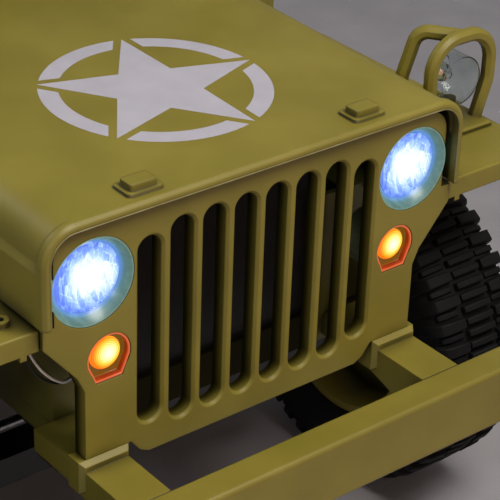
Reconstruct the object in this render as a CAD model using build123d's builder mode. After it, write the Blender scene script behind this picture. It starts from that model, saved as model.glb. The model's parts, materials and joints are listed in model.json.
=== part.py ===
from build123d import *
import os
from math import cos, radians, sin, tan

os.makedirs("parts", exist_ok=True)

# A child's ride-on army 4x4, in millimetres. +Z is up, the front faces -Y and the left side is +X.
# The origin lies on the ground, at the middle of the whole car's length and width.

# Wheels and stance
wheelbase = 850.0
tyre_radius = 170.0  # to the lug tips
tyre_width = 110.0
tyre_outer_x = 355.0
front_axle_back = 178.0  # from the grille face
rear_overhang = 250.0  # from the rear axle to the rear panel's outer face

# Grille
slot_count = 8
slot_pitch = 32.0
slot_width = 23.0
slot_edge = 2.4  # bevel of the slots' front edges
slot_bottom_z = 291.0
slot_top_z = 481.2
end_slot_trim = 8.1  # the two outer slots are this much shorter at each end
grille_depth = 15.0
grille_corner = 22.0
waist_slant = 6.5
apron_slant = 9.0
apron_step = 11.5
grille_half = 203.0  # beside the headlamps
grille_top_z = 500.0
grille_ear_half = 213.6
grille_ear_z = 405.0
grille_waist_half = 175.5
grille_waist_z = 352.0
grille_shoulder_z = 366.7
grille_foot_z = 286.2
apron_half = 121.8
apron_bottom_z = 270.0

# Lamps
headlamp_x = 166.7
headlamp_z = 450.2
headlamp_radius = 38.9
headlamp_recess = 9.0
marker_x = 152.0
marker_z = 377.5
marker_radius = 21.0
marker_drop = 22.0
marker_recess = 4.5
marker_side = 70.0  # slope of the foot's sides, in degrees
marker_lens_radius = 14.0
marker_lens_inset = 1.0  # behind the grille face
housing_wall = 2.5  # of the box behind a marker lamp
housing_back = 42.0
lamp_depth = 30.0
lamp_wall = 5.5
lamp_socket = 9.0

# Bonnet
bonnet_half = 217.5
bonnet_front_z = 511.4
bonnet_slope = 0.019
bonnet_corner = 31.0
bonnet_skin = 5.0
bonnet_gap = 12.0  # ahead of the firewall
bonnet_lift = 4.0  # above the fender tops
hinge_x = 150.0
hinge_radius = 5.0
hinge_length = 40.0
hinge_pin = 2.0
hinge_lug = 9.0
lip_reach = 8.4  # ahead of the grille face
lip_depth = 9.0
lip_bead = 7.0
lip_bevel = 3.0
ledge_low_z = 473.0
ledge_high_z = 480.0
ledge_width = 4.0
notch_front = 54.0  # behind the grille face
notch_length = 70.0
notch_top_z = 447.0
rest_x = 114.8
rest_back = 14.0
rest_length = 34.0
rest_width = 24.0
rest_base = 2.5
rest_height = 8.0
rest_block_length = 25.0
rest_block_width = 16.0
rest_corner = 4.0

# Front bumper
bumper_gap = 62.4
bumper_depth = 31.2
bumper_half = 300.0
bumper_height = 60.4
bumper_top_z = 278.4
horn_x = 158.1
horn_width = 42.4
horn_height = 22.0  # behind the grille
horn_deepening = 23.0  # more than that at the bumper
horn_drop = 0.6
collar_rim = 3.5
collar_length = 5.0
bumper_edge = 4.0

# Body
body_half = 336.0
panel = 8.0
bay_back = 400.0  # from the grille face to the firewall
cowl_length = 60.0
cowl_top_z = 520.0
sill_z = 235.0
tub_top_z = 470.0
entry_z = 392.0
entry_front = 95.0  # behind the firewall
entry_length = 245.0
entry_slope = 48.0
entry_corner = 15.0
arch_radius = 188.0
floor_bottom_z = 250.0
floor_thickness = 12.0
bed_half = 214.0
bed_rise = 6.0
bed_margin = 10.0

# Wheel boxes, engine bay tray and frame
box_inner_x = 226.0
box_wall = 7.0
box_top_z = 382.0
tray_half = 160.0
tray_wall = 6.0
tray_set_back = 72.0  # from the grille face to the tray's front wall
tray_open_half = 178.0  # ahead of that wall only the outer flanges go on
tray_step_z = 273.0
tray_step = 3.0
tray_upper_half = 204.0
tray_flange_half = 230.0
tray_top_z = 466.0
gusset_low_z = 323.0
gusset_half = 213.0
gusset_thickness = 4.0
radiator_half = 130.0
radiator_window_half = 118.0
radiator_window_z = 285.0
rail_x = 95.0
rail_width = 30.0
rail_height = 50.0
cross_depth = 30.0
cross_half = 157.0
cross_rise = 6.0  # of the cross members, above the rails' undersides
cross_back = 40.0  # behind the firewall
cross_ahead = 260.0  # ahead of the rear axle
radiator_rise = 8.0
front_cross_height = 26.0

# Fenders
fender_set_back = 4.0
fender_top_z = 422.0
fender_band = 18.5
fender_edge = 2.0
fender_skin = 5.0
fender_gap = 1.0
fender_rear_z = 300.0
fender_flat = 320.0
boss_inset = 19.0  # screw boss, from the fender's inner end
boss_back = 28.0
boss_outer = 7.0
boss_hole = 3.0
boss_height = 5.0
tab_inset = 14.0
tab_half = 3.0
tab_drop = 4.5

# Lamp guard on the left fender
guard_back = 84.0  # behind the grille face
guard_x = 300.0
guard_root_half = 25.0
guard_half = 37.0
guard_bow_z = 462.0
guard_top_z = 512.0
guard_bar = 12.5
guard_bar_chamfer = 3.5
guard_bend = 30.0
guard_foot = 5.0
guard_foot_inner = 39.0
guard_foot_outer = 28.0
guard_foot_front = 20.0
guard_foot_back = 50.0
guard_foot_chamfer = 2.0
guard_stay_back = 34.0
guard_stay_bow = 6.0
guard_lamp_z = 468.0
guard_lamp_radius = 24.0
guard_lamp_front = 8.0
guard_lamp_depth = 38.0
guard_stalk_radius = 8.0

# Lamp leads behind the grille
lead_radius = 1.1
lead_end_gap = 1.2  # from what a lead enters, at its middle

# Battery, one plain block
battery_half = 76.0
battery_front = 120.0  # behind the grille face
battery_length = 150.0
battery_top_z = 370.0
terminal_x = 50.0
terminal_radius = 8.0
terminal_height = 10.0

# Axles and steering
kingpin_x = 215.0
pin_radius = 6.0
running_gap = 0.3
knuckle_radius = 13.0
knuckle_height = 51.0
yoke_plate = 6.0
beam_height = 30.0
beam_depth = 36.0
arm_back = 60.0
arm_thickness = 8.0
arm_width = 16.0
rod_radius = 5.0
rod_eye = 10.0
rod_eye_height = 12.0
hub_inner = 50.0  # from the wheel's middle plane
hub_outer = 30.0
nut_length = 8.0
nut_radius = 10.0
stub_radius = 12.0
beam_plate = 8.0
beam_plate_x = 22.0  # its middle, inside the kingpin
yoke_reach = 12.0
yoke_half = 13.0
beam_post = 25.0

# Tyres and rims
lug_count = 40
lug_height = 9.0
lug_share = 0.62  # of the pitch
tread_half = 38.0
shoulder_drop = 15.0  # from the tread's edge to the tyre's side
rim_radius = 98.0
rim_half = 45.0
rim_wall = 8.0
disc_front = 12.0
disc_thickness = 8.0
hub_radius = 22.0
wheel_nut_count = 5
wheel_nut_circle = 40.0
wheel_nut_radius = 8.0
wheel_nut_height = 9.0
window_count = 10
window_circle = 70.0
window_radius = 9.0

# Steering wheel
wheel_seat_x = 120.5
rim_ring_radius = 88.0
rim_ring_section = 8.0
column_tilt = 32.0
steering_back = 128.0  # behind the firewall
steering_z = 470.0
shaft_radius = 8.0
shaft_start = 12.0  # from the dashboard, along the column
column_radius = 16.0
column_length = 40.0
column_root = 20.0
steering_hub_radius = 24.0
steering_hub_depth = 18.0
spoke_width = 14.0
spoke_depth = 8.0

# Seats
seat_width = 205.0
seat_front = 245.0  # behind the firewall
seat_depth = 205.0
seat_top_z = 385.0
seat_back_z = 590.0
seat_back_depth = 42.0
seat_lean = 40.0
seat_edge = 16.0

# Windscreen
screen_half = 290.0
screen_height = 285.0
screen_depth = 18.0
screen_bar = 20.0
screen_back = 25.0  # behind the firewall
screen_pivot_lift = 20.0
screen_foot = 10.0
pane_thickness = 4.0
ear_thickness = 8.0
ear_half = 14.0
ear_rise = 10.0
screen_pin = 5.0
screen_corner = 24.0

# Tow plate
hitch_half = 22.0
hitch_plate_half = 40.0
hitch_reach = 48.0
hitch_bore = 12.0

# Rear bumperettes and tail lamps
bumperette_x = 240.0
bumperette_half = 60.0
bumperette_depth = 22.0
bumperette_low_z = 240.0
bumperette_top_z = 285.0
tail_lamp_x = 270.0
tail_lamp_z = 430.0
tail_lamp_radius = 20.0
tail_lamp_depth = 14.0

# Dashboard
dash_bottom_z = 400.0
dial_z = 460.0
dial_radius = 26.0
dial_depth = 6.0
knob_radius = 12.0
knob_depth = 10.0
knob_x = 60.0
knob_pitch = 40.0

# Drive units and the rear axle's brackets
drive_inner = 154.0
drive_end_gap = 10.0
drive_radius = 48.0
gear_offset = 62.0
gear_radius = 30.0
drive_arm_half = 15.0
drive_arm_top = 14.0
boss_radius = 20.0
bracket_half = 22.0
bracket_thickness = 10.0
bracket_drop = 20.0

# Spare wheel
spare_gap = 12.0
spare_z = 420.0
carrier_radius = 30.0
carrier_thickness = 4.0

bumper_reach = bumper_gap + bumper_depth
front_overhang = bumper_reach + front_axle_back
overall_length = front_overhang + wheelbase + rear_overhang + spare_gap + tyre_width
grille_y = -overall_length / 2 + bumper_reach
front_axle_y = grille_y + front_axle_back
rear_axle_y = front_axle_y + wheelbase
rear_y = rear_axle_y + rear_overhang
bay_y = grille_y + bay_back
axle_z = tyre_radius
grille_back_y = grille_y + grille_depth
tray_front_y = grille_y + tray_set_back
tray_flange_z = fender_top_z - fender_band
wheel_x = tyre_outer_x - tyre_width / 2
floor_z = floor_bottom_z + floor_thickness
rail_bottom_z = floor_bottom_z - rail_height
cross_low_z = rail_bottom_z + cross_rise
guard_y = grille_y + guard_back
foot_top_z = fender_top_z + guard_foot


def save(piece, name):
    piece.part.label = name
    export_step(piece.part, f"parts/{name}.step")


def box_between(low, high):
    size = [b - a for a, b in zip(low, high)]
    with Locations(low):
        Box(*size, align=(Align.MIN, Align.MIN, Align.MIN))


def cut_between(low, high):
    size = [b - a for a, b in zip(low, high)]
    with Locations(low):
        Box(*size, align=(Align.MIN, Align.MIN, Align.MIN), mode=Mode.SUBTRACT)


def across(x, y, z, side):
    return Plane((x, y, z), x_dir=(0, 1, 0), z_dir=(side, 0, 0))


def bend_radii(points):
    radii = []
    for a, b, c in zip(points, points[1:], points[2:]):
        before = Vector(*b) - Vector(*a)
        after = Vector(*c) - Vector(*b)
        turn = radians(before.get_angle(after))
        radii.append(0.45 * min(before.length, after.length) / tan(turn / 2))
    return radii


# Grille panel: ears over the fenders, a narrow waist, slots with bevelled edges and lamp holes
grille_side = [
    (grille_half, grille_top_z),
    (grille_half, fender_top_z),
    (grille_ear_half, fender_top_z),
    (grille_ear_half, grille_ear_z),
    (grille_waist_half + waist_slant, grille_shoulder_z),
    (grille_waist_half, grille_waist_z),
    (grille_waist_half, grille_foot_z),
    (apron_half + apron_slant, grille_foot_z),
    (apron_half, grille_foot_z - apron_step),
    (apron_half - apron_slant, apron_bottom_z),
]
grille_plane = Plane.XZ.offset(-grille_y)


def marker_outline(side, margin):
    outer = marker_radius + margin
    with BuildSketch(grille_plane) as outline:
        with Locations((side * marker_x, marker_z)):
            Circle(outer)
            Trapezoid(2 * outer, marker_drop + margin, marker_side, rotation=180,
                      align=(Align.CENTER, Align.MIN))
    return outline.sketch


with BuildPart() as grille:
    with BuildSketch(grille_plane):
        with BuildLine():
            Polyline(grille_side + [(-x, z) for x, z in reversed(grille_side)], close=True)
        make_face()
    extrude(amount=-grille_depth)
    top_corners = grille.edges().filter_by(Axis.Y).group_by(Axis.Z)[-1]
    fillet(top_corners, grille_corner)
    front_edges = grille.faces().sort_by(Axis.Y)[0].edges()
    with BuildSketch(grille_plane):
        for i in range(slot_count):
            trim = end_slot_trim if i in (0, slot_count - 1) else 0
            tall = slot_top_z - slot_bottom_z - 2 * trim
            x = (i - (slot_count - 1) / 2) * slot_pitch
            with Locations((x, (slot_top_z + slot_bottom_z) / 2)):
                SlotOverall(tall, slot_width, rotation=90)
    extrude(amount=-grille_depth, mode=Mode.SUBTRACT)
    slot_edges = grille.faces().sort_by(Axis.Y)[0].edges() - front_edges
    chamfer(slot_edges, slot_edge)
    with BuildSketch(grille_plane):
        with Locations((-headlamp_x, headlamp_z), (headlamp_x, headlamp_z)):
            Circle(headlamp_radius)
    extrude(amount=-grille_depth, mode=Mode.SUBTRACT)
    for side in (-1, 1):
        extrude(marker_outline(side, 0), amount=-grille_depth, mode=Mode.SUBTRACT)
save(grille, "grille")

# Lamps that sit in the grille, and the boxes behind the marker lamps
for name, side in (("left", 1), ("right", -1)):
    with BuildPart() as headlamp:
        with BuildSketch(grille_plane):
            with Locations((side * headlamp_x, headlamp_z)):
                Circle(headlamp_radius - running_gap)
        extrude(amount=-grille_depth)
        with BuildSketch(grille_plane):
            with Locations((side * headlamp_x, headlamp_z)):
                Circle(headlamp_radius - lamp_socket)
        extrude(amount=-lamp_depth)
        with BuildSketch(grille_plane):
            with Locations((side * headlamp_x, headlamp_z)):
                Circle(headlamp_radius - lamp_wall)
        extrude(amount=-headlamp_recess, mode=Mode.SUBTRACT)
    save(headlamp, f"headlamp_{name}")

    with BuildPart() as marker:
        extrude(marker_outline(side, -running_gap), amount=-grille_depth)
        reach = 2 * marker_radius
        cut_between((side * marker_x - reach, grille_y, marker_z - reach),
                    (side * marker_x + reach, grille_y + marker_recess, marker_z + reach))
        with BuildSketch(grille_plane.offset(-marker_recess)):
            with Locations((side * marker_x, marker_z)):
                Circle(marker_lens_radius)
        extrude(amount=marker_recess - marker_lens_inset)
    save(marker, f"marker_lamp_{name}")

    with BuildPart() as housing:
        extrude(marker_outline(side, housing_wall), amount=-housing_back)
        cut_between((side * marker_x - reach, grille_y, marker_z - reach),
                    (side * marker_x + reach, grille_back_y, marker_z + reach))
    save(housing, f"marker_housing_{name}")

# Bonnet: a rounded channel with a ledge along each side and a bevelled lip ahead of it, hinged at its rear
bonnet_front_y = grille_y - lip_reach
bonnet_back_y = bay_y - bonnet_gap
bonnet_bottom_z = fender_top_z + bonnet_lift
shell_front_y = bonnet_front_y + lip_depth
shell_rise = bonnet_slope * (bonnet_back_y - shell_front_y)
bonnet_rise = bonnet_slope * (bonnet_back_y - bonnet_front_y)
hinge_y = bay_y - hinge_radius - running_gap
hinge_z = bonnet_front_z + bonnet_rise - hinge_radius - 1


def lip_section(y, inset, low):
    with BuildSketch(Plane.XZ.offset(-y)) as section:
        with BuildLine():
            half = bonnet_half - inset
            top = bonnet_front_z - inset
            sides = FilletPolyline((-half, low), (-half, top), (half, top), (half, low),
                                   radius=bonnet_corner - inset)
            Line(sides @ 1, sides @ 0)
        make_face()
    return section.sketch


def shell_section(y, inset, rise, low):
    half = bonnet_half - inset
    top = bonnet_front_z + rise - inset
    side = [(half, low), (half, ledge_low_z - inset), (half - ledge_width, ledge_high_z - inset)]
    with BuildSketch(Plane.XZ.offset(-y)) as section:
        with BuildLine():
            left = Polyline(*[(-x, z) for x, z in side])
            over = FilletPolyline(left @ 1, (ledge_width - half, top), (half - ledge_width, top), side[2],
                                  radius=bonnet_corner - inset)
            Polyline(over @ 1, side[1], side[0], left @ 0)
        make_face()
    return section.sketch


with BuildPart() as bonnet:
    low = bonnet_bottom_z
    loft([shell_section(shell_front_y, 0, 0, low),
          shell_section(bonnet_back_y, 0, shell_rise, low)], ruled=True)
    loft([shell_section(shell_front_y, bonnet_skin, 0, low - 1),
          shell_section(bonnet_back_y, bonnet_skin, shell_rise, low - 1)], ruled=True, mode=Mode.SUBTRACT)
    loft([lip_section(bonnet_front_y, lip_bevel, low),
          lip_section(bonnet_front_y + lip_bevel, 0, low)], ruled=True)
    extrude(lip_section(bonnet_front_y + lip_bevel, 0, low), amount=lip_bevel - lip_depth)
    extrude(lip_section(bonnet_front_y, lip_bead, low - 1), amount=-lip_depth, mode=Mode.SUBTRACT)
    rest_y = grille_y + rest_back
    rest_z = bonnet_front_z + bonnet_slope * rest_back
    for side in (-1, 1):
        low, high = sorted((side * (bonnet_half - 2 * bonnet_skin), side * (bonnet_half + 1)))
        cut_between((low, grille_y + notch_front, bonnet_bottom_z - 1),
                    (high, grille_y + notch_front + notch_length, notch_top_z))
    for length, width, corner, height in ((rest_length, rest_width, rest_corner, rest_base),
                                          (rest_block_length, rest_block_width, rest_corner / 2, rest_height)):
        with BuildSketch(Plane.XY.offset(rest_z - 1)):
            with Locations((-rest_x, rest_y), (rest_x, rest_y)):
                RectangleRounded(length, width, corner)
        extrude(amount=height + 1)
    with Locations((-hinge_x, hinge_y, hinge_z), (hinge_x, hinge_y, hinge_z)):
        Cylinder(hinge_radius, hinge_length, rotation=(0, 90, 0))
        Box(hinge_length, bonnet_gap, 2 * hinge_radius - 2, align=(Align.CENTER, Align.MAX, Align.CENTER))
        Cylinder(hinge_pin + running_gap, hinge_length, rotation=(0, 90, 0), mode=Mode.SUBTRACT)
save(bonnet, "bonnet")

# Front bumper: a box beam on two deepening horns that reach the tray under the grille
with BuildPart() as bumper:
    beam_y = grille_y - bumper_reach
    horn_top = bumper_top_z - horn_drop
    box_between((-bumper_half, beam_y, bumper_top_z - bumper_height),
                (bumper_half, beam_y + bumper_depth, bumper_top_z))
    fillet(bumper.edges().filter_by(Axis.X), bumper_edge)
    for side in (-1, 1):
        with BuildSketch(Plane.YZ.offset(side * horn_x)):
            Polygon((grille_y - bumper_gap - 1, horn_top), (tray_front_y, horn_top),
                    (tray_front_y, horn_top - horn_height), (grille_back_y, horn_top - horn_height),
                    (grille_y - bumper_gap - 1, horn_top - horn_height - horn_deepening), align=None)
        extrude(amount=horn_width / 2, both=True)
        with BuildSketch(grille_plane):
            with Locations((side * horn_x, grille_foot_z)):
                Rectangle(horn_width + 2 * collar_rim, grille_foot_z - horn_top + horn_height,
                          align=(Align.CENTER, Align.MAX))
        extrude(amount=collar_length, taper=35)
        box_between((side * horn_x - horn_width / 2 - collar_rim, grille_y, horn_top - horn_height),
                    (side * horn_x + horn_width / 2 + collar_rim, grille_back_y, grille_foot_z))
save(bumper, "front_bumper")

# Frame: two rails, cross members and the brackets of the rear axle
with BuildPart() as frame:
    for side in (-1, 1):
        x = side * rail_x
        box_between((x - rail_width / 2, tray_front_y + cross_depth, rail_bottom_z),
                    (x + rail_width / 2, rear_y - panel, floor_bottom_z))
        box_between((x - bracket_thickness / 2, rear_axle_y - bracket_half, axle_z - bracket_drop),
                    (x + bracket_thickness / 2, rear_axle_y + bracket_half, rail_bottom_z + 1))
    box_between((-cross_half, tray_front_y, floor_bottom_z - front_cross_height),
                (cross_half, tray_front_y + cross_depth, floor_bottom_z))
    for y in (bay_y + cross_back, rear_axle_y - cross_ahead, rear_y - panel - cross_depth):
        box_between((-rail_x, y, cross_low_z), (rail_x, y + cross_depth, floor_bottom_z))
    with Locations((0, rear_axle_y, axle_z)):
        Cylinder(pin_radius + running_gap, 2 * (rail_x + rail_width), rotation=(0, 90, 0),
                 mode=Mode.SUBTRACT)
save(frame, "frame")

# Engine bay tray: a stepped channel with a front wall, whose flanges carry the grille and the fenders
with BuildPart() as tray:
    outer = [(tray_half - tray_step, floor_bottom_z), (tray_half - tray_step, tray_step_z),
             (tray_half, tray_step_z), (tray_half, tray_flange_z - tray_wall),
             (tray_flange_half, tray_flange_z - tray_wall), (tray_flange_half, tray_flange_z),
             (tray_upper_half, tray_flange_z), (tray_upper_half, tray_top_z),
             (tray_upper_half - tray_wall, tray_top_z), (tray_upper_half - tray_wall, tray_flange_z),
             (tray_half - tray_wall, tray_flange_z), (tray_half - tray_wall, floor_bottom_z + tray_wall)]
    with BuildSketch(Plane.XZ.offset(-grille_back_y)):
        with BuildLine():
            Polyline(outer + [(-x, z) for x, z in reversed(outer)], close=True)
        make_face()
    extrude(amount=-(bay_y - grille_back_y))
    cut_between((-tray_open_half, grille_back_y, floor_bottom_z), (tray_open_half, tray_front_y, tray_top_z))
    box_between((-tray_half + tray_step, tray_front_y, floor_bottom_z),
                (tray_half - tray_step, tray_front_y + tray_wall, tray_flange_z))
    cut_between((-radiator_window_half, tray_front_y, radiator_window_z),
                (radiator_window_half, tray_front_y + tray_wall, tray_flange_z))
    for side in (-1, 1):
        with BuildSketch(Plane.XZ.offset(-tray_front_y)):
            Polygon((side * tray_half, gusset_low_z), (side * tray_half, tray_flange_z - 1),
                    (side * gusset_half, tray_flange_z - 1), align=None)
        extrude(amount=-gusset_thickness)
        low, high = sorted((side * tray_upper_half, side * tray_flange_half))
        cut_between((low, grille_y + fender_flat - fender_band, floor_bottom_z),
                    (high, bay_y, tray_flange_z))
save(tray, "engine_bay")

radiator_y = tray_front_y + tray_wall
with BuildPart() as radiator:
    box_between((-radiator_half, radiator_y, floor_bottom_z + tray_wall),
                (radiator_half, radiator_y + tray_wall, slot_top_z + radiator_rise))
save(radiator, "radiator_panel")

# Lamp leads: two on each side, from a hole in the flange round to the housing behind the marker lamp
lead_low_z = marker_z - marker_drop - housing_wall - lead_end_gap
lead_top_z = tray_flange_z - tray_wall - lead_end_gap
white_lead = [(212, 30, lead_top_z), (206, 26, 377), (191, 25, 357), (172, 28, 343), (157, 31, lead_low_z)]
dark_lead = [(216, 34, lead_top_z), (210, 30, 374), (194, 31, 353), (170, 34, 339), (150, 36, lead_low_z)]
for name, side in (("left", 1), ("right", -1)):
    with BuildPart() as leads:
        for route in (white_lead, dark_lead):
            points = [(side * x, grille_y + back, z) for x, back, z in route]
            with BuildLine() as path:
                FilletPolyline(*points, radius=bend_radii(points))
            with BuildSketch(Plane(points[0], z_dir=path.line % 0)):
                RegularPolygon(lead_radius, 6)
            sweep(path=path.line)
            print(name, "lead bends:", [round(radius, 1) for radius in bend_radii(points)])
    save(leads, f"lamp_leads_{name}")

# Battery: one plain block in the bay
with BuildPart() as battery:
    battery_y = grille_y + battery_front
    terminal_y = battery_y + terminal_x / 2
    box_between((-battery_half, battery_y, floor_bottom_z + tray_wall),
                (battery_half, battery_y + battery_length, battery_top_z))
    with Locations((-terminal_x, terminal_y, battery_top_z), (terminal_x, terminal_y, battery_top_z)):
        Cylinder(terminal_radius, terminal_height, align=(Align.CENTER, Align.CENTER, Align.MIN))
save(battery, "battery")

# Fenders: thin shells with a turned-down band, flat over the wheel and sloped behind it
fender_inner = grille_ear_half + fender_gap
fender_front_y = grille_y + fender_set_back


for name, side in (("left", 1), ("right", -1)):
    inner_x, outer_x = fender_inner, body_half
    with BuildPart() as fender:
        with BuildSketch(Plane.YZ.offset(side * inner_x)):
            with BuildLine():
                Polyline(
                    (fender_front_y, fender_top_z - fender_band),
                    (fender_front_y, fender_top_z),
                    (grille_y + fender_flat, fender_top_z),
                    (bay_y, fender_rear_z),
                    (bay_y - fender_band, fender_rear_z),
                    (grille_y + fender_flat - fender_band / 2, fender_top_z - fender_band),
                    close=True)
            make_face()
        extrude(amount=side * (outer_x - inner_x))
        front = fender.edges().filter_by(Axis.X).sort_by(Axis.Y)[:2].sort_by(Axis.Z)[-1]
        fillet(front, fender_edge)
        with BuildSketch(Plane.YZ.offset(side * (inner_x + fender_skin))):
            with BuildLine():
                Polyline(
                    (fender_front_y + fender_skin, fender_top_z - fender_band - 1),
                    (fender_front_y + fender_skin, fender_top_z - fender_skin),
                    (grille_y + fender_flat - 2, fender_top_z - fender_skin),
                    (bay_y - fender_skin - 1, fender_rear_z + 2),
                    (bay_y - fender_skin - 2, fender_rear_z - 1),
                    (bay_y - 60, fender_rear_z - 1),
                    close=True)
            make_face()
        extrude(amount=side * (outer_x - inner_x - 2 * fender_skin), mode=Mode.SUBTRACT)
        with Locations((side * (inner_x + boss_inset), grille_y + boss_back, fender_top_z - 1)):
            Cylinder(boss_outer, boss_height + 1, align=(Align.CENTER, Align.CENTER, Align.MIN))
            Cylinder(boss_hole, boss_height + 1, align=(Align.CENTER, Align.CENTER, Align.MIN),
                     mode=Mode.SUBTRACT)
        tab_x = side * (inner_x + tab_inset)
        tab_top_z = fender_top_z - fender_band + 1
        box_between((tab_x - tab_half, fender_front_y, tab_top_z - 1 - tab_drop),
                    (tab_x + tab_half, fender_front_y + fender_skin, tab_top_z))
    save(fender, f"fender_{name}")

# Lamp guard on the left fender: a foot plate, a bowed hoop and a stay behind it, round a clear lamp
with BuildPart() as guard:
    box_between((guard_x - guard_foot_inner, guard_y - guard_foot_front, fender_top_z),
                (guard_x + guard_foot_outer, guard_y + guard_foot_back, foot_top_z))
    chamfer(guard.faces().sort_by(Axis.Z)[-1].edges(), guard_foot_chamfer)
    leg = [(guard_root_half, foot_top_z - 2), (guard_half, guard_bow_z), (guard_half, guard_top_z)]
    hoop_points = [(guard_x - x, guard_y, z) for x, z in leg]
    hoop_points += [(guard_x + x, guard_y, z) for x, z in reversed(leg)]
    with BuildLine() as hoop:
        FilletPolyline(*hoop_points, radius=[guard_bend, guard_bend, guard_bend, guard_bend])
    with BuildSketch(Plane(hoop_points[0], x_dir=(0, 1, 0), z_dir=hoop.line % 0)):
        bar = Rectangle(guard_bar, guard_bar)
        chamfer(bar.vertices(), guard_bar_chamfer)
    sweep(path=hoop.line)
    stay_points = [(guard_x - guard_root_half, guard_y + guard_stay_back, foot_top_z - 2),
                   (guard_x - guard_half, guard_y + guard_stay_back + guard_stay_bow, guard_bow_z),
                   (guard_x - guard_root_half, guard_y + guard_stay_back, guard_top_z),
                   (guard_x, guard_y, guard_top_z)]
    with BuildLine() as stay:
        FilletPolyline(*stay_points, radius=[guard_bend, guard_bend / 2])
    with BuildSketch(Plane(stay_points[0], x_dir=(0, 1, 0), z_dir=stay.line % 0)):
        bar = Rectangle(guard_bar, guard_bar)
        chamfer(bar.vertices(), guard_bar_chamfer)
    sweep(path=stay.line)
save(guard, "lamp_guard")

with BuildPart() as guard_lamp:
    lamp_mid_y = guard_y - guard_lamp_front + guard_lamp_depth / 2
    with Locations((guard_x, lamp_mid_y, guard_lamp_z)):
        Cylinder(guard_lamp_radius, guard_lamp_depth, rotation=(90, 0, 0))
    with Locations((guard_x, lamp_mid_y, foot_top_z)):
        Cylinder(guard_stalk_radius, guard_lamp_z - foot_top_z,
                 align=(Align.CENTER, Align.CENTER, Align.MIN))
save(guard_lamp, "guard_lamp")

# Side panels with the entry dip and the rear wheel arch
for name, side in (("left", 1), ("right", -1)):
    entry_y = bay_y + entry_front
    with BuildPart() as side_panel:
        with BuildSketch(Plane.YZ.offset(side * (body_half - panel))):
            with BuildLine():
                Polyline(
                    (bay_y, sill_z),
                    (bay_y, cowl_top_z),
                    (bay_y + cowl_length, cowl_top_z),
                    (entry_y, entry_z),
                    (entry_y + entry_length, entry_z),
                    (entry_y + entry_length + entry_slope, tub_top_z),
                    (rear_y - panel, tub_top_z),
                    (rear_y - panel, sill_z),
                    close=True)
            make_face()
            with Locations((rear_axle_y, axle_z)):
                Circle(arch_radius, mode=Mode.SUBTRACT)
        extrude(amount=side * panel)
        across_edges = side_panel.edges().filter_by(Axis.X)
        fillet(across_edges.filter_by_position(Axis.Z, entry_z - 1, entry_z + 1), entry_corner)
        shoulder = across_edges.filter_by_position(Axis.Z, tub_top_z - 1, tub_top_z + 1)
        fillet(shoulder.sort_by(Axis.Y)[0], entry_corner)
    save(side_panel, f"side_panel_{name}")

# Floor with its raised load bed, rear panel and the boxes over the rear wheels
box_front_y = rear_axle_y - arch_radius - box_wall
box_back_y = rear_axle_y + arch_radius + box_wall
with BuildPart() as floor:
    box_between((-(body_half - panel), bay_y, floor_bottom_z), (body_half - panel, rear_y - panel, floor_z))
    for side in (-1, 1):
        low, high = sorted((side * box_inner_x, side * body_half))
        cut_between((low, box_front_y, floor_bottom_z), (high, box_back_y, floor_z))
    bed_back_y = rear_y - panel - bed_margin
    bed_front_y = bay_y + seat_front + seat_depth + seat_lean + seat_back_depth + bed_margin
    box_between((-bed_half, bed_front_y, floor_z), (bed_half, bed_back_y, floor_z + bed_rise))
save(floor, "floor")

with BuildPart() as rear_panel:
    box_between((-body_half, rear_y - panel, sill_z), (body_half, rear_y, tub_top_z))
    fillet(rear_panel.edges().filter_by(Axis.Y).group_by(Axis.Z)[-1], panel / 2)
save(rear_panel, "rear_panel")

for name, side in (("left", 1), ("right", -1)):
    with BuildPart() as wheel_box:
        low, high = sorted((side * box_inner_x, side * (body_half - panel)))
        box_between((low, box_front_y, sill_z), (high, box_back_y, box_top_z))
        low, high = sorted((side * (box_inner_x + box_wall), side * body_half))
        cut_between((low, box_front_y + box_wall, sill_z),
                    (high, box_back_y - box_wall, box_top_z - box_wall))
    save(wheel_box, f"wheel_box_{name}")

# Cowl: firewall, top and the ears of the bonnet hinges and of the windscreen
screen_y = bay_y + screen_back
screen_z = cowl_top_z + screen_pivot_lift
with BuildPart() as cowl:
    inner = body_half - panel
    box_between((-inner, bay_y, floor_z), (inner, bay_y + panel, cowl_top_z))
    box_between((-inner, bay_y, cowl_top_z - panel), (inner, bay_y + cowl_length, cowl_top_z))
    for side in (-1, 1):
        lug_offset = hinge_length / 2 + hinge_lug / 2 + running_gap
        for x in (hinge_x - lug_offset, hinge_x + lug_offset):
            with Locations((side * x, hinge_y, hinge_z)):
                Cylinder(hinge_radius, hinge_lug, rotation=(0, 90, 0))
                Box(hinge_lug, hinge_radius + 2, 2 * hinge_radius,
                    align=(Align.CENTER, Align.MIN, Align.CENTER))
        with Locations((side * hinge_x, hinge_y, hinge_z)):
            Cylinder(hinge_pin, hinge_length + hinge_lug, rotation=(0, 90, 0))
        ear_x = side * (screen_half + running_gap + ear_thickness / 2)
        box_between((ear_x - ear_thickness / 2, screen_y - ear_half, cowl_top_z),
                    (ear_x + ear_thickness / 2, screen_y + ear_half, screen_z + ear_rise))
        with Locations((side * screen_half, screen_y, screen_z)):
            Cylinder(screen_pin, 2 * ear_thickness, rotation=(0, 90, 0))
save(cowl, "cowl")

dash_y = bay_y + cowl_length
with BuildPart() as dash:
    inner = body_half - panel
    box_between((-inner, dash_y - panel, dash_bottom_z), (inner, dash_y, cowl_top_z - panel))
    with Locations((0, dash_y, dial_z)):
        Cylinder(dial_radius, dial_depth, rotation=(90, 0, 0))
    with Locations((-knob_x, dash_y, dial_z), (-knob_x - knob_pitch, dash_y, dial_z)):
        Cylinder(knob_radius, knob_depth, rotation=(90, 0, 0))
save(dash, "dashboard")

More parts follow.
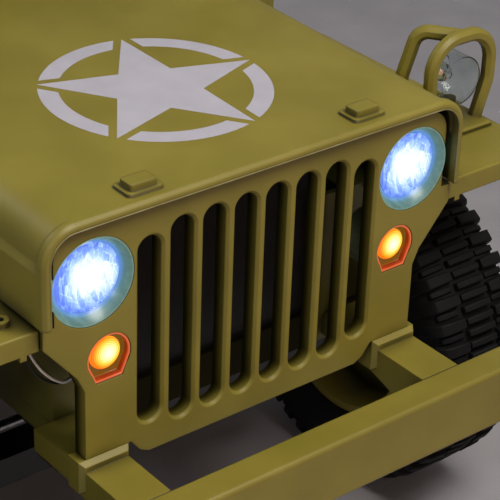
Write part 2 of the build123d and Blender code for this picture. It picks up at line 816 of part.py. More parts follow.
# Windscreen: a frame with a middle bar and two flat panes, folding forward
with BuildPart() as screen:
    low_z = screen_z - screen_foot
    high_z = low_z + screen_height
    box_between((-screen_half, screen_y - screen_depth / 2, low_z),
                (screen_half, screen_y + screen_depth / 2, high_z))
    fillet(screen.edges().filter_by(Axis.Y).group_by(Axis.Z)[-1], screen_corner)
    for side in (-1, 1):
        low, high = sorted((side * screen_bar / 2, side * (screen_half - screen_bar)))
        cut_between((low, screen_y - screen_depth, low_z + screen_bar),
                    (high, screen_y + screen_depth, high_z - screen_bar))
    with Locations((0, screen_y, screen_z)):
        Cylinder(screen_pin + running_gap, 2 * screen_half, rotation=(0, 90, 0), mode=Mode.SUBTRACT)
save(screen, "windscreen_frame")

with BuildPart() as panes:
    for side in (-1, 1):
        low, high = sorted((side * screen_bar / 2, side * (screen_half - screen_bar)))
        box_between((low, screen_y - pane_thickness / 2, low_z + screen_bar),
                    (high, screen_y + pane_thickness / 2, high_z - screen_bar))
save(panes, "windscreen_panes")

# Steering column and wheel in front of the left seat
tilt = radians(column_tilt)
wheel_centre = Vector(wheel_seat_x, bay_y + steering_back, steering_z)
column_dir = Vector(0, cos(tilt), sin(tilt))
dash_distance = (wheel_centre.Y - dash_y) / cos(tilt)
dash_point = wheel_centre - column_dir * dash_distance
column_plane = Plane(dash_point, x_dir=(1, 0, 0), z_dir=column_dir)
steer_plane = Plane(wheel_centre, x_dir=(1, 0, 0), z_dir=column_dir)
with BuildPart() as column:
    with BuildSketch(column_plane.offset(-column_root)):
        Circle(column_radius)
    extrude(amount=column_root + column_length)
    split(bisect_by=Plane.XZ.offset(-dash_y), keep=Keep.BOTTOM)
    with BuildSketch(column_plane.offset(shaft_start - 7)):
        Circle(shaft_radius + running_gap)
    extrude(amount=column_length, mode=Mode.SUBTRACT)
save(column, "steering_column")

with BuildPart() as steering:
    with BuildSketch(steer_plane.offset(shaft_start - dash_distance)):
        Circle(shaft_radius)
    extrude(amount=dash_distance - shaft_start)
    with BuildSketch(steer_plane.offset(-steering_hub_depth / 2)):
        Circle(steering_hub_radius)
    extrude(amount=steering_hub_depth)
    with BuildSketch(steer_plane.offset(-spoke_depth / 2)):
        with PolarLocations(0, 3, start_angle=90):
            Rectangle(rim_ring_radius, spoke_width, align=(Align.MIN, Align.CENTER))
    extrude(amount=spoke_depth)
    with BuildSketch(Plane(wheel_centre + Vector(rim_ring_radius, 0, 0), x_dir=(1, 0, 0),
                           z_dir=steer_plane.y_dir)):
        RegularPolygon(rim_ring_section, 6, major_radius=False)
    revolve(axis=Axis(wheel_centre, column_dir))
save(steering, "steering_wheel")

# Seats: a cushion block and a leaning back, one side profile each
seat_y = bay_y + seat_front
for name, side in (("left", 1), ("right", -1)):
    with BuildPart() as seat:
        with BuildSketch(Plane.YZ.offset(side * wheel_seat_x - seat_width / 2)):
            with BuildLine():
                Polyline(
                    (seat_y, floor_z),
                    (seat_y, seat_top_z),
                    (seat_y + seat_depth, seat_top_z - 8),
                    (seat_y + seat_depth + seat_lean, seat_back_z),
                    (seat_y + seat_depth + seat_lean + seat_back_depth, seat_back_z),
                    (seat_y + seat_depth + seat_back_depth, floor_z),
                    close=True)
            make_face()
        extrude(amount=seat_width)
        across_edges = seat.edges().filter_by(Axis.X)
        fillet(across_edges.group_by(Axis.Z)[-1], seat_edge)
        fillet(across_edges.filter_by_position(Axis.Z, seat_top_z - 1, seat_top_z + 1), seat_edge)
    save(seat, f"seat_{name}")

# Front axle beam with its yokes and kingpins
knuckle_low = axle_z - knuckle_height / 2
knuckle_high = axle_z + knuckle_height / 2
yoke_low = knuckle_low - running_gap - yoke_plate
yoke_high = knuckle_high + running_gap + yoke_plate
plate_inner_x = kingpin_x - beam_plate_x - beam_plate / 2
plate_outer_x = plate_inner_x + beam_plate
with BuildPart() as axle_beam:
    box_between((-plate_outer_x, front_axle_y - beam_depth / 2, axle_z - beam_height / 2),
                (plate_outer_x, front_axle_y + beam_depth / 2, axle_z + beam_height / 2))
    for side in (-1, 1):
        low, high = sorted((side * plate_inner_x, side * plate_outer_x))
        box_between((low, front_axle_y - yoke_half - 2, yoke_low),
                    (high, front_axle_y + yoke_half + 2, yoke_high))
        for z in (yoke_low, yoke_high - yoke_plate):
            low, high = sorted((side * (plate_outer_x - 2), side * (kingpin_x + yoke_reach)))
            box_between((low, front_axle_y - yoke_half, z), (high, front_axle_y + yoke_half, z + yoke_plate))
        with Locations((side * kingpin_x, front_axle_y, axle_z)):
            Cylinder(pin_radius, knuckle_height + 2 * yoke_plate + 8)
        box_between((side * rail_x - rail_width / 2, front_axle_y - beam_post, axle_z + beam_height / 2),
                    (side * rail_x + rail_width / 2, front_axle_y + beam_post, rail_bottom_z))
save(axle_beam, "front_axle")

# Knuckles: kingpin barrel, stub axle, nut and steering arm
stub_end = wheel_x + hub_outer + running_gap
for name, side in (("left", 1), ("right", -1)):
    x = side * kingpin_x
    with BuildPart() as knuckle:
        with Locations((x, front_axle_y, axle_z)):
            Cylinder(knuckle_radius, knuckle_height)
        with BuildSketch(across(x, front_axle_y, axle_z, side)):
            Circle(pin_radius)
        extrude(amount=stub_end + nut_length - kingpin_x)
        with BuildSketch(across(x, front_axle_y, axle_z, side)):
            Circle(stub_radius)
        extrude(amount=wheel_x - hub_inner - running_gap - kingpin_x)
        with BuildSketch(across(side * stub_end, front_axle_y, axle_z, side)):
            RegularPolygon(nut_radius, 6)
        extrude(amount=nut_length)
        box_between((x - arm_width / 2, front_axle_y, knuckle_low),
                    (x + arm_width / 2, front_axle_y + arm_back, knuckle_low + arm_thickness))
        with Locations((x, front_axle_y + arm_back, knuckle_low)):
            Cylinder(rod_eye, arm_thickness, align=(Align.CENTER, Align.CENTER, Align.MIN))
        with Locations((x, front_axle_y, axle_z)):
            Cylinder(pin_radius + running_gap, knuckle_height, mode=Mode.SUBTRACT)
    save(knuckle, f"knuckle_{name}")

# Tie rod lying on the two steering arms
rod_low = knuckle_low + arm_thickness + running_gap
with BuildPart() as tie_rod:
    with Locations((0, front_axle_y + arm_back, rod_low + rod_eye_height / 2)):
        Cylinder(rod_radius, 2 * kingpin_x, rotation=(0, 90, 0))
    for side in (-1, 1):
        with Locations((side * kingpin_x, front_axle_y + arm_back, rod_low)):
            Cylinder(rod_eye, rod_eye_height, align=(Align.CENTER, Align.CENTER, Align.MIN))
save(tie_rod, "tie_rod")

# Rear axle rod with end nuts, and the drive units beside the frame
with BuildPart() as rear_axle:
    with Locations((0, rear_axle_y, axle_z)):
        Cylinder(pin_radius, 2 * (stub_end + nut_length), rotation=(0, 90, 0))
    for side in (-1, 1):
        with BuildSketch(across(side * stub_end, rear_axle_y, axle_z, side)):
            RegularPolygon(nut_radius, 6)
        extrude(amount=nut_length)
save(rear_axle, "rear_axle")

for name, side in (("left", 1), ("right", -1)):
    drive_plane = across(side * drive_inner, rear_axle_y, axle_z, side)
    with BuildPart() as drive:
        with BuildSketch(drive_plane):
            Circle(drive_radius)
            with Locations((gear_offset, 0)):
                Circle(gear_radius)
        extrude(amount=wheel_x - hub_inner - drive_end_gap - drive_inner)
        with BuildSketch(drive_plane):
            Circle(boss_radius)
        extrude(amount=wheel_x - hub_inner - running_gap - drive_inner)
        with Locations((side * drive_inner, rear_axle_y, axle_z)):
            Cylinder(pin_radius + running_gap, 2 * drive_inner, rotation=(0, 90, 0), mode=Mode.SUBTRACT)
        low, high = sorted((side * (rail_x + bracket_thickness / 2), side * (drive_inner + 1)))
        box_between((low, rear_axle_y + gear_offset - drive_arm_half, axle_z - drive_arm_half),
                    (high, rear_axle_y + gear_offset + drive_arm_half, axle_z + drive_arm_top))
    save(drive, f"drive_{name}")

# One tyre and one rim, made at the origin with the axle along X and the outer side toward +X
tip_radius = tyre_radius / cos(radians(lug_share * 180 / lug_count))
root_radius = tyre_radius - lug_height


def tread_outline(x, share):
    points = []
    for i in range(lug_count):
        for step, radius in ((-lug_share, tip_radius), (lug_share, tip_radius), (1, root_radius)):
            turn = radians((i + step / 2) * 360 / lug_count - 90)
            points.append((share * radius * cos(turn), share * radius * sin(turn)))
    with BuildSketch(Plane.YZ.offset(x)) as outline:
        Polygon(*points, align=None)
    return outline.sketch


with BuildPart() as tyre_form:
    extrude(tread_outline(0, 1), amount=tread_half, both=True)
    for side in (-1, 1):
        loft([tread_outline(side * tread_half, 1),
              tread_outline(side * tyre_width / 2, 1 - shoulder_drop / tyre_radius)], ruled=True)
    Cylinder(rim_radius, tyre_width, rotation=(0, 90, 0), mode=Mode.SUBTRACT)

with BuildPart() as rim_form:
    barrel = rim_radius - rim_wall
    disc_back = disc_front - disc_thickness
    bore = pin_radius + running_gap
    with BuildSketch(Plane.XZ):
        with BuildLine():
            Polyline((disc_back, 0), (disc_back, barrel), (-rim_half, barrel), (-rim_half, rim_radius),
                     (rim_half, rim_radius), (rim_half, barrel), (disc_front, barrel), (disc_front, 0),
                     close=True)
        make_face()
    revolve(axis=Axis.X)
    with BuildSketch(Plane.YZ.offset(-hub_inner)):
        RegularPolygon(hub_radius, 8)
    extrude(amount=hub_inner + hub_outer)
    Cylinder(bore, 2 * hub_inner, rotation=(0, 90, 0), mode=Mode.SUBTRACT)
    with BuildSketch(Plane.YZ.offset(disc_back)):
        with PolarLocations(window_circle, window_count):
            RegularPolygon(window_radius, 8)
    extrude(amount=disc_thickness, mode=Mode.SUBTRACT)
    with BuildSketch(Plane.YZ.offset(disc_front)):
        with PolarLocations(wheel_nut_circle, wheel_nut_count):
            RegularPolygon(wheel_nut_radius, 6)
    extrude(amount=wheel_nut_height)

wheel_places = (
    ("front_left", 1, front_axle_y),
    ("front_right", -1, front_axle_y),
    ("rear_left", 1, rear_axle_y),
    ("rear_right", -1, rear_axle_y),
)
for name, side, y in wheel_places:
    turn = 0 if side > 0 else 180
    with BuildPart() as tyre:
        with Locations((side * wheel_x, y, axle_z)):
            add(tyre_form.part, rotation=(0, 0, turn))
    save(tyre, f"tyre_{name}")
    with BuildPart() as rim:
        with Locations((side * wheel_x, y, axle_z)):
            add(rim_form.part, rotation=(0, 0, turn))
    save(rim, f"rim_{name}")

spare_y = rear_y + spare_gap + tyre_width / 2
with BuildPart() as spare_tyre:
    with Locations((0, spare_y, spare_z)):
        add(tyre_form.part, rotation=(0, 0, 90))
save(spare_tyre, "spare_tyre")
with BuildPart() as spare_rim:
    with Locations((0, spare_y, spare_z)):
        add(rim_form.part, rotation=(0, 0, 90))
save(spare_rim, "spare_rim")

with BuildPart() as carrier:
    with Locations((0, rear_y, spare_z)):
        Cylinder(pin_radius, spare_gap + tyre_width / 2 + hub_outer + nut_length, rotation=(-90, 0, 0),
                 align=(Align.CENTER, Align.CENTER, Align.MIN))
        Cylinder(carrier_radius, carrier_thickness, rotation=(-90, 0, 0),
                 align=(Align.CENTER, Align.CENTER, Align.MIN))
save(carrier, "spare_carrier")

# Rear bumperettes, tow plate and tail lamps
with BuildPart() as bumperettes:
    for side in (-1, 1):
        x = side * bumperette_x
        box_between((x - bumperette_half, rear_y, bumperette_low_z),
                    (x + bumperette_half, rear_y + bumperette_depth, bumperette_top_z))
save(bumperettes, "rear_bumperettes")

with BuildPart() as hitch:
    hitch_low = cross_low_z
    box_between((-hitch_plate_half, rear_y - panel, hitch_low), (hitch_plate_half, rear_y, sill_z - 1))
    box_between((-hitch_half, rear_y - panel, hitch_low),
                (hitch_half, rear_y + hitch_reach, hitch_low + panel))
    with Locations((0, rear_y + hitch_reach - hitch_half, hitch_low)):
        Hole(hitch_bore / 2)
save(hitch, "tow_hitch")

with BuildPart() as tail_lamps:
    with Locations((-tail_lamp_x, rear_y, tail_lamp_z), (tail_lamp_x, rear_y, tail_lamp_z)):
        Cylinder(tail_lamp_radius, tail_lamp_depth, rotation=(-90, 0, 0),
                 align=(Align.CENTER, Align.CENTER, Align.MIN))
save(tail_lamps, "tail_lamps")
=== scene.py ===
import json
from math import asin, atan2, cos, pi, radians, sin, sqrt, tau

import bmesh
import bpy
from bpy.props import FloatProperty, FloatVectorProperty, IntProperty, PointerProperty
from mathutils import Matrix, Vector
from mathutils.bvhtree import BVHTree


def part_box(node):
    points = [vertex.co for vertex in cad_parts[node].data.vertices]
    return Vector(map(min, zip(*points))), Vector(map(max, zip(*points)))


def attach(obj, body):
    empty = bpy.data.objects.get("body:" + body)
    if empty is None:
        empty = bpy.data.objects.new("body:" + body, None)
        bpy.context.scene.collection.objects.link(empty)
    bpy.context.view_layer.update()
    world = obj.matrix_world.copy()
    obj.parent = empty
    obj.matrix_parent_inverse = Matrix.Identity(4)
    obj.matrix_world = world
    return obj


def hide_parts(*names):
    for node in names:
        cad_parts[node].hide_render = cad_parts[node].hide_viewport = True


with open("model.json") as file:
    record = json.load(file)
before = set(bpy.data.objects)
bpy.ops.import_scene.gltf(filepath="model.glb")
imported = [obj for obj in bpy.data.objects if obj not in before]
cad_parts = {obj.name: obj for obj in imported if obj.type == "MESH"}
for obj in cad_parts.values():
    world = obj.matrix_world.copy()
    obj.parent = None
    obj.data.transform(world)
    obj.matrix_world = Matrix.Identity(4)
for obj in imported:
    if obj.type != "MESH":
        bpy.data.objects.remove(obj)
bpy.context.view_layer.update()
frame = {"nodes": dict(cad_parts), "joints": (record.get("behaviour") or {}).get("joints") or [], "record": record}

bl_info = {
    "name": "Ride-on army car dressing",
    "version": (1, 0, 0),
    "blender": (4, 5, 0),
    "location": "View3D > Sidebar > Ride-on",
    "description": "Finishes and fine pieces for a child's ride-on army 4x4",
    "category": "Object",
}

MM = 0.001


def in_mm(*points):
    """Points written in millimetres, as tuples in metres."""
    return [tuple(value * MM for value in point) for point in points]


# Colours and nodes

def srgb(code):
    """An sRGB hex value as a linear colour with full alpha."""
    channels = [int(code[i:i + 2], 16) / 255 for i in (1, 3, 5)]
    return (*[c / 12.92 if c <= 0.04045 else ((c + 0.055) / 1.055) ** 2.4 for c in channels], 1.0)


def add_node(tree, kind, inputs=None, stops=(), **attributes):
    """Adds a node, sets its attributes and (place, hex colour) stops, and joins or sets its inputs."""
    node = tree.nodes.new(kind)
    for name, value in attributes.items():
        setattr(node, name, value)
    for socket, source in (inputs or {}).items():
        if isinstance(source, bpy.types.NodeSocket):
            tree.links.new(source, node.inputs[socket])
        else:
            node.inputs[socket].default_value = source
    if stops:
        bands = node.color_ramp.elements
        while len(bands) < len(stops):
            bands.new(0.5)
        for band, (place, code) in zip(bands, stops):
            band.position = place
            band.color = srgb(code)
    return node


def new_finish(name, values):
    """A material with the given even values on its Principled shader, and its object coordinates."""
    finish = bpy.data.materials.new(name)
    finish.use_nodes = True
    tree = finish.node_tree
    tree.nodes.clear()
    shader = add_node(tree, "ShaderNodeBsdfPrincipled", values)
    add_node(tree, "ShaderNodeOutputMaterial", {"Surface": shader.outputs["BSDF"]})
    return finish, tree, shader, add_node(tree, "ShaderNodeTexCoord").outputs["Object"]


def place_along(finish, axis):
    """How far a point of the finish lies along its object's X, Y or Z."""
    tree = finish.node_tree
    coords = add_node(tree, "ShaderNodeTexCoord").outputs["Object"]
    return add_node(tree, "ShaderNodeSeparateXYZ", {"Vector": coords}).outputs[axis]


def edged_bump(tree, shader, height, depth_mm, strength=1.0, edge_mm=0.0):
    """A grain of depth_mm, over edges that are shaded round by edge_mm where it is given."""
    bump = add_node(tree, "ShaderNodeBump", {"Height": height, "Strength": strength, "Distance": depth_mm * MM})
    if edge_mm:
        edges = add_node(tree, "ShaderNodeBevel", {"Radius": edge_mm * MM})
        tree.links.new(edges.outputs["Normal"], bump.inputs["Normal"])
    tree.links.new(bump.outputs["Normal"], shader.inputs["Normal"])


def fine_grain(tree, shader, coords, size_mm, depth_mm, detail=2.0, edge_mm=0.0):
    """Moulding or coating grain whose blobs are about size_mm across."""
    values = {"Vector": coords, "Scale": 1 / (size_mm * MM), "Detail": detail}
    blobs = add_node(tree, "ShaderNodeTexNoise", values)
    edged_bump(tree, shader, blobs.outputs["Fac"], depth_mm, edge_mm=edge_mm)


def pebble_grain(tree, shader, coords, size_mm, depth_mm, strength, edge_mm):
    """Leather grain whose pebbles are about size_mm across."""
    values = {"Vector": coords, "Scale": 1 / (size_mm * MM)}
    cells = add_node(tree, "ShaderNodeTexVoronoi", values, feature="SMOOTH_F1")
    edged_bump(tree, shader, cells.outputs["Distance"], depth_mm, strength, edge_mm)


# Painted shade: an occlusion measure of the nearby geometry darkens the colour where shade falls in recesses.
RECESS_CLOSED, RECESS_OPEN = 0.42, 0.85  # shares of open surroundings where a recess is darkest and where it ends
RECESS_DARKEST = 0.12  # share of the colour that is left there


def painted_recess_shade(tree, colour, reach_mm):
    """Painted shade: darkens a colour where walls stand nearer than reach_mm."""
    hollow = add_node(tree, "ShaderNodeAmbientOcclusion", {"Distance": reach_mm * MM}, samples=8)
    shade = add_node(tree, "ShaderNodeMapRange", {"Value": hollow.outputs["AO"], "From Min": RECESS_CLOSED,
                                                  "From Max": RECESS_OPEN, "To Min": RECESS_DARKEST})
    dimmed = add_node(tree, "ShaderNodeVectorMath", {0: colour, 1: shade.outputs["Result"]}, operation="MULTIPLY")
    return dimmed.outputs["Vector"]


def mottled(tree, shader, coords, patch_mm, tones, recess_shade_reach_mm=0.0):
    """Base colour that drifts between three near hex tones over patches of patch_mm, with painted shade in recesses
    where a reach is given.
    """
    values = {"Vector": coords, "Scale": 1 / (patch_mm * MM), "Detail": 3.0}
    patches = add_node(tree, "ShaderNodeTexNoise", values)
    stops = list(zip((0.3, 0.5, 0.7), tones))
    colour = add_node(tree, "ShaderNodeValToRGB", {"Fac": patches.outputs["Fac"]}, stops).outputs["Color"]
    # Painted shade in recesses.
    if recess_shade_reach_mm:
        colour = painted_recess_shade(tree, colour, recess_shade_reach_mm)
    tree.links.new(colour, shader.inputs["Base Color"])


def plain_finish(name, values, patch_mm, tones, grain=None, *sizes, **edge):
    """A finish with a drifting colour and, where it is given, fine_grain or pebble_grain of these sizes."""
    finish, tree, shader, coords = new_finish(name, values)
    mottled(tree, shader, coords, patch_mm, tones)
    if grain:
        grain(tree, shader, coords, *sizes, **edge)
    return finish


def painted_shade_along(finish, source, dark_at, lit_at, floor):
    """Painted shade: dims a finish smoothly to floor times itself from where source is lit_at to where it is dark_at,
    and dims its specular level with it.
    """
    tree = finish.node_tree
    shader = tree.nodes["Principled BSDF"]
    lit = add_node(tree, "ShaderNodeMapRange", {"Value": source, "From Min": dark_at, "From Max": lit_at,
                                                "To Min": floor}, interpolation_type="SMOOTHSTEP").outputs["Result"]
    colour = shader.inputs["Base Color"].links[0].from_socket
    dimmed = add_node(tree, "ShaderNodeVectorMath", {0: colour, 1: lit}, operation="MULTIPLY")
    tree.links.new(dimmed.outputs["Vector"], shader.inputs["Base Color"])
    # The painted shade also dims the reflection.
    sheen = add_node(tree, "ShaderNodeMath", {0: lit, 1: 0.5}, operation="MULTIPLY")
    tree.links.new(sheen.outputs["Value"], shader.inputs["Specular IOR Level"])


def glow(tree, shader, source, stops, strength, share=None):
    """Lights a surface in colours that run along source, times share where it is given."""
    colour = add_node(tree, "ShaderNodeValToRGB", {"Fac": source}, stops).outputs["Color"]
    if share is not None:
        colour = add_node(tree, "ShaderNodeVectorMath", {0: colour, 1: share}, operation="MULTIPLY").outputs["Vector"]
    tree.links.new(colour, shader.inputs["Emission Color"])
    shader.inputs["Emission Strength"].default_value = strength


def away_from_axis(tree, coords, reach_mm, across_mm=0.0, up_mm=0.0):
    """Distance from a lamp's axis, local Z, or from a line beside it, as a share of reach_mm."""
    beside = {0: coords, 1: (across_mm * MM, up_mm * MM, 0)}
    moved = add_node(tree, "ShaderNodeVectorMath", beside, operation="SUBTRACT").outputs["Vector"]
    flat = add_node(tree, "ShaderNodeVectorMath", {0: moved, 1: (1, 1, 0)}, operation="MULTIPLY").outputs["Vector"]
    away = add_node(tree, "ShaderNodeVectorMath", {0: flat}, operation="LENGTH").outputs["Value"]
    return add_node(tree, "ShaderNodeMath", {0: away, 1: reach_mm * MM}, operation="DIVIDE").outputs["Value"]


def ring_shade(tree, coords, pitch_mm, darkest):
    """A share that falls to darkest in rings round local Z, one every pitch_mm."""
    values = {"Vector": coords, "Scale": tau / (20 * pitch_mm * MM)}
    rings = add_node(tree, "ShaderNodeTexWave", values, wave_type="RINGS", rings_direction="Z", wave_profile="SIN")
    shade = {"Value": rings.outputs["Fac"], "From Max": 0.5, "To Min": darkest}
    return add_node(tree, "ShaderNodeMapRange", shade).outputs["Result"]


# Finishes, each named for what the real surface is; several carry painted shade, and one is a painted highlight

def satin_polypropylene(name, tones, edge_mm=1.6, recess_shade_reach_mm=34.0):
    """Injection moulded polypropylene, satin: broad soft highlights, a very fine spark grain, and painted shade
    darkening its recesses.
    """
    finish, tree, shader, coords = new_finish(name, {"Roughness": 0.42, "IOR": 1.49})
    mottled(tree, shader, coords, 70.0, tones, recess_shade_reach_mm)
    fine_grain(tree, shader, coords, 0.9, 0.05, 1.0, edge_mm)
    return finish


OLIVE = ("#80762b", "#877c30", "#8e8336")


def satin_olive_polypropylene():
    """The resin of the body's mouldings: mid olive, a little yellower where the light grazes it."""
    return satin_polypropylene("satin olive polypropylene", OLIVE)


def bonnet_olive_polypropylene():
    """The same olive on the large moulding with its well rounded edges."""
    return satin_polypropylene("satin olive polypropylene of the bonnet", OLIVE, edge_mm=3.4)


def grille_olive_polypropylene():
    """The same olive, with painted shade darkening the slots' walls toward the back of the panel."""
    finish = satin_polypropylene("satin olive polypropylene of the grille", OLIVE, edge_mm=2.0)
    face_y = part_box("grille")[0].y
    # Painted shade on the slots' walls, from 1 mm to 13 mm behind the face.
    painted_shade_along(finish, place_along(finish, "Y"), face_y + 13 * MM, face_y + 1 * MM, 0.1)
    return finish


def bay_olive_polypropylene():
    """The same resin in darker tones that paint the shade under the fenders, with painted shade that turns it nearly
    black inside the closed bay.
    """
    # The darker tones paint the shade under the fenders.
    finish = satin_polypropylene("olive polypropylene of the bay, darkened by painted shade", ("#675f25", "#70682a", "#797030"), recess_shade_reach_mm=30.0)
    aside = add_node(finish.node_tree, "ShaderNodeMath", {0: place_along(finish, "X")}, operation="ABSOLUTE")
    # Painted shade: nearly black within 122 mm of the middle, inside the closed bay.
    painted_shade_along(finish, aside.outputs["Value"], 122 * MM, 138 * MM, 0.08)
    return finish


def pale_green_polypropylene():
    """Uncoloured, slightly green resin of the boxes behind the marker lamps."""
    return satin_polypropylene("pale green polypropylene", ("#8f9b78", "#99a581", "#a3ae8b"))


def textured_black_polypropylene():
    """Moulded black polypropylene with a leather-like grain about 1.6 mm across."""
    return plain_finish("textured black polypropylene",
                        {"Roughness": 0.55, "IOR": 1.49, "Specular IOR Level": 0.35}, 25.0,
                        ("#0f0f10", "#141415", "#1a1a1b"), pebble_grain, 1.6, 0.15, 0.6, 1.0)


def blow_moulded_black_polyethylene():
    """Blow moulded polyethylene tyre: dull black with a slight bloom and coarse flow marks."""
    return plain_finish("blow moulded black polyethylene",
                        {"Roughness": 0.72, "IOR": 1.5, "Specular IOR Level": 0.3}, 18.0,
                        ("#040405", "#070608", "#0c0b0e"), fine_grain, 1.2, 0.12, 3.0)


def zinc_plated_steel():
    """Zinc plated mild steel: grey-white metal with faint spangle and drawn marks."""
    return plain_finish("zinc plated steel", {"Metallic": 1.0, "Roughness": 0.34}, 6.0,
                        ("#9a9da0", "#aeb1b3", "#bfc2c4"), fine_grain, 0.7, 0.03, edge_mm=0.8)


def black_powder_coated_steel():
    """Powder coated steel tube and plate: black with a fine orange-peel."""
    return plain_finish("black powder coated steel", {"Roughness": 0.4}, 30.0,
                        ("#111112", "#161617", "#1c1c1d"), fine_grain, 1.5, 0.06, edge_mm=1.2)


def chromed_abs():
    """Chrome plated ABS reflector: a clean mirror with slight flow ripples."""
    return plain_finish("chromed ABS", {"Metallic": 1.0, "Roughness": 0.08}, 12.0,
                        ("#cfd3d8", "#dde0e4", "#e8eaec"), fine_grain, 4.0, 0.03)


def clear_polystyrene():
    """Clear moulded polystyrene lens: thin, glossy, a little cloudy at its edges."""
    return plain_finish("clear polystyrene",
                        {"Roughness": 0.03, "IOR": 1.3, "Transmission Weight": 1.0, "Specular IOR Level": 0.6},
                        20.0, ("#e4ecec", "#eef4f3", "#f4f8f7"))


def clear_acrylic_sheet():
    """Clear acrylic windscreen sheet, seen almost clean through with a soft edge tint."""
    return plain_finish("clear acrylic sheet", {"Roughness": 0.02, "IOR": 1.15, "Transmission Weight": 1.0},
                        80.0, ("#dfe8e6", "#e8efed", "#eff4f2"))


def lit_white_reflector():
    """Facetted reflector over cool white LEDs: crazed light lines on blue round a burnt-out white middle."""
    finish, tree, shader, coords = new_finish("lit facetted reflector", {"Roughness": 0.2})
    away = away_from_axis(tree, coords, 32.0, 6.0, -2.5)
    drawn = add_node(tree, "ShaderNodeMapping", {"Vector": coords, "Rotation": (0, 0, radians(-50)),
                                                 "Scale": (1.0, 0.4, 1.0)}).outputs["Vector"]
    facets = add_node(tree, "ShaderNodeTexVoronoi", {"Vector": drawn, "Scale": 1 / (3.4 * MM)})
    tone = add_node(tree, "ShaderNodeSeparateColor", {"Color": facets.outputs["Color"]}).outputs["Red"]
    centred = add_node(tree, "ShaderNodeMath", {0: tone, 1: 0.5}, operation="SUBTRACT").outputs["Value"]
    shift = add_node(tree, "ShaderNodeMath", {0: centred, 1: 0.3, 2: away}, operation="MULTIPLY_ADD").outputs["Value"]
    seams = add_node(tree, "ShaderNodeTexVoronoi", {"Vector": drawn, "Scale": 1 / (4.4 * MM)},
                     feature="DISTANCE_TO_EDGE")
    line = add_node(tree, "ShaderNodeMapRange", {"Value": seams.outputs["Distance"], "From Max": 0.07,
                                                 "To Min": -0.15, "To Max": 0.0}).outputs["Result"]
    tint = add_node(tree, "ShaderNodeMath", {0: shift, 1: line}, operation="ADD").outputs["Value"]
    glow(tree, shader, tint, [(0.0, "#ffffff"), (0.36, "#ffffff"), (0.5, "#e4f2ff"), (0.62, "#b3d3ff"),
                              (0.8, "#84a6f6"), (1.0, "#5874e0")], 1.25)
    mottled(tree, shader, coords, 6.0, ("#3c4f8e", "#4a60a4", "#5b72b8"))
    return finish


def lit_clear_cup():
    """Clear polystyrene lamp cup, lit from inside: grey-teal wall, bright blue ring at its foot, and painted shade
    dark behind it.
    """
    finish, tree, shader, coords = new_finish("lit clear cup", {"Roughness": 0.3, "IOR": 1.59})
    away = away_from_axis(tree, coords, 38.9)
    depth = place_along(finish, "Z")
    dark_at, lit_at = -12.5 * MM, -10.5 * MM
    # The glow fades with the painted shade behind the cup's foot.
    front = add_node(tree, "ShaderNodeMapRange", {"Value": depth, "From Min": dark_at, "From Max": lit_at})
    glow(tree, shader, away, [(0.0, "#5f95ff"), (0.81, "#6fa4ff"), (0.835, "#6aa2e0"), (0.86, "#5f8c98"),
                              (0.95, "#5d7d70"), (1.0, "#8fb4a8")], 0.62, front.outputs["Result"])
    mottled(tree, shader, coords, 9.0, ("#2c4244", "#3c5456", "#54706e"))
    # Painted shade in the cup's throat behind the reflector.
    painted_shade_along(finish, depth, dark_at, lit_at, 0.05)
    return finish


def lit_amber_lens():
    """Amber polystyrene lens with concentric prisms, cream white where the lamp shines through."""
    finish, tree, shader, coords = new_finish("lit amber lens", {"Roughness": 0.15, "IOR": 1.59})
    away = away_from_axis(tree, coords, 14.4, 2.0, 0.5)
    glow(tree, shader, away, [(0.0, "#fffde4"), (0.38, "#fff4b0"), (0.62, "#ffdc5c"), (0.84, "#ffa822"),
                              (1.0, "#f0700c")], 1.5, ring_shade(tree, coords, 1.7, 0.4))
    mottled(tree, shader, coords, 5.0, ("#5c2404", "#6c2c06", "#7c360a"))
    return finish


def lit_amber_housing():
    """Amber polystyrene pocket round the lens: dark red-orange walls under a bright thin rim."""
    finish, tree, shader, coords = new_finish("lit amber housing", {"Roughness": 0.3, "IOR": 1.59})
    level = add_node(tree, "ShaderNodeMapRange", {"Value": place_along(finish, "Z"), "From Min": -7 * MM,
                                                  "From Max": -0.4 * MM}).outputs["Result"]
    glow(tree, shader, level, [(0.0, "#6a5a10"), (0.12, "#782408"), (0.6, "#8a260a"), (0.82, "#e04a1c"),
                               (1.0, "#ff8250")], 0.62)
    mottled(tree, shader, coords, 8.0, ("#5c1e08", "#6e260c", "#803212"))
    return finish


def red_polystyrene_lens():
    """Red moulded lens, unlit: deep colour with a clear glossy skin."""
    return plain_finish("red polystyrene lens", {"Roughness": 0.12, "IOR": 1.59, "Coat Weight": 0.5}, 10.0,
                        ("#7a0d0d", "#931212", "#a81a18"))


def pad_printed_grey_ink():
    """Pale grey marking ink on the bonnet: flat, a little thin where the grain shows through."""
    return plain_finish("pale grey marking ink", {"Roughness": 0.5}, 22.0, ("#b5b3c1", "#b9b7c5", "#bdbbc9"),
                        fine_grain, 1.0, 0.02)


def painted_lip_highlight():
    """Painted highlight: a pale, shinier olive that paints the light caught along the inside of the bonnet's lip."""
    return plain_finish("painted highlight on the bonnet's lip", {"Roughness": 0.38}, 16.0,
                        ("#777147", "#857f57", "#938d68"), fine_grain, 3.0, 0.05)


def lead_insulation(name, tones):
    """Soft PVC over a thin lead: slightly waxy."""
    return plain_finish(name, {"Roughness": 0.35}, 4.0, tones, fine_grain, 0.8, 0.03)


def seat_leatherette():
    """Black PVC leatherette: pebbled grain about 1.8 mm across with a soft sheen."""
    return plain_finish("black PVC leatherette", {"Roughness": 0.48}, 40.0, ("#1d1b1a", "#242120", "#2b2826"),
                        pebble_grain, 1.8, 0.25, 0.8, 4.0)


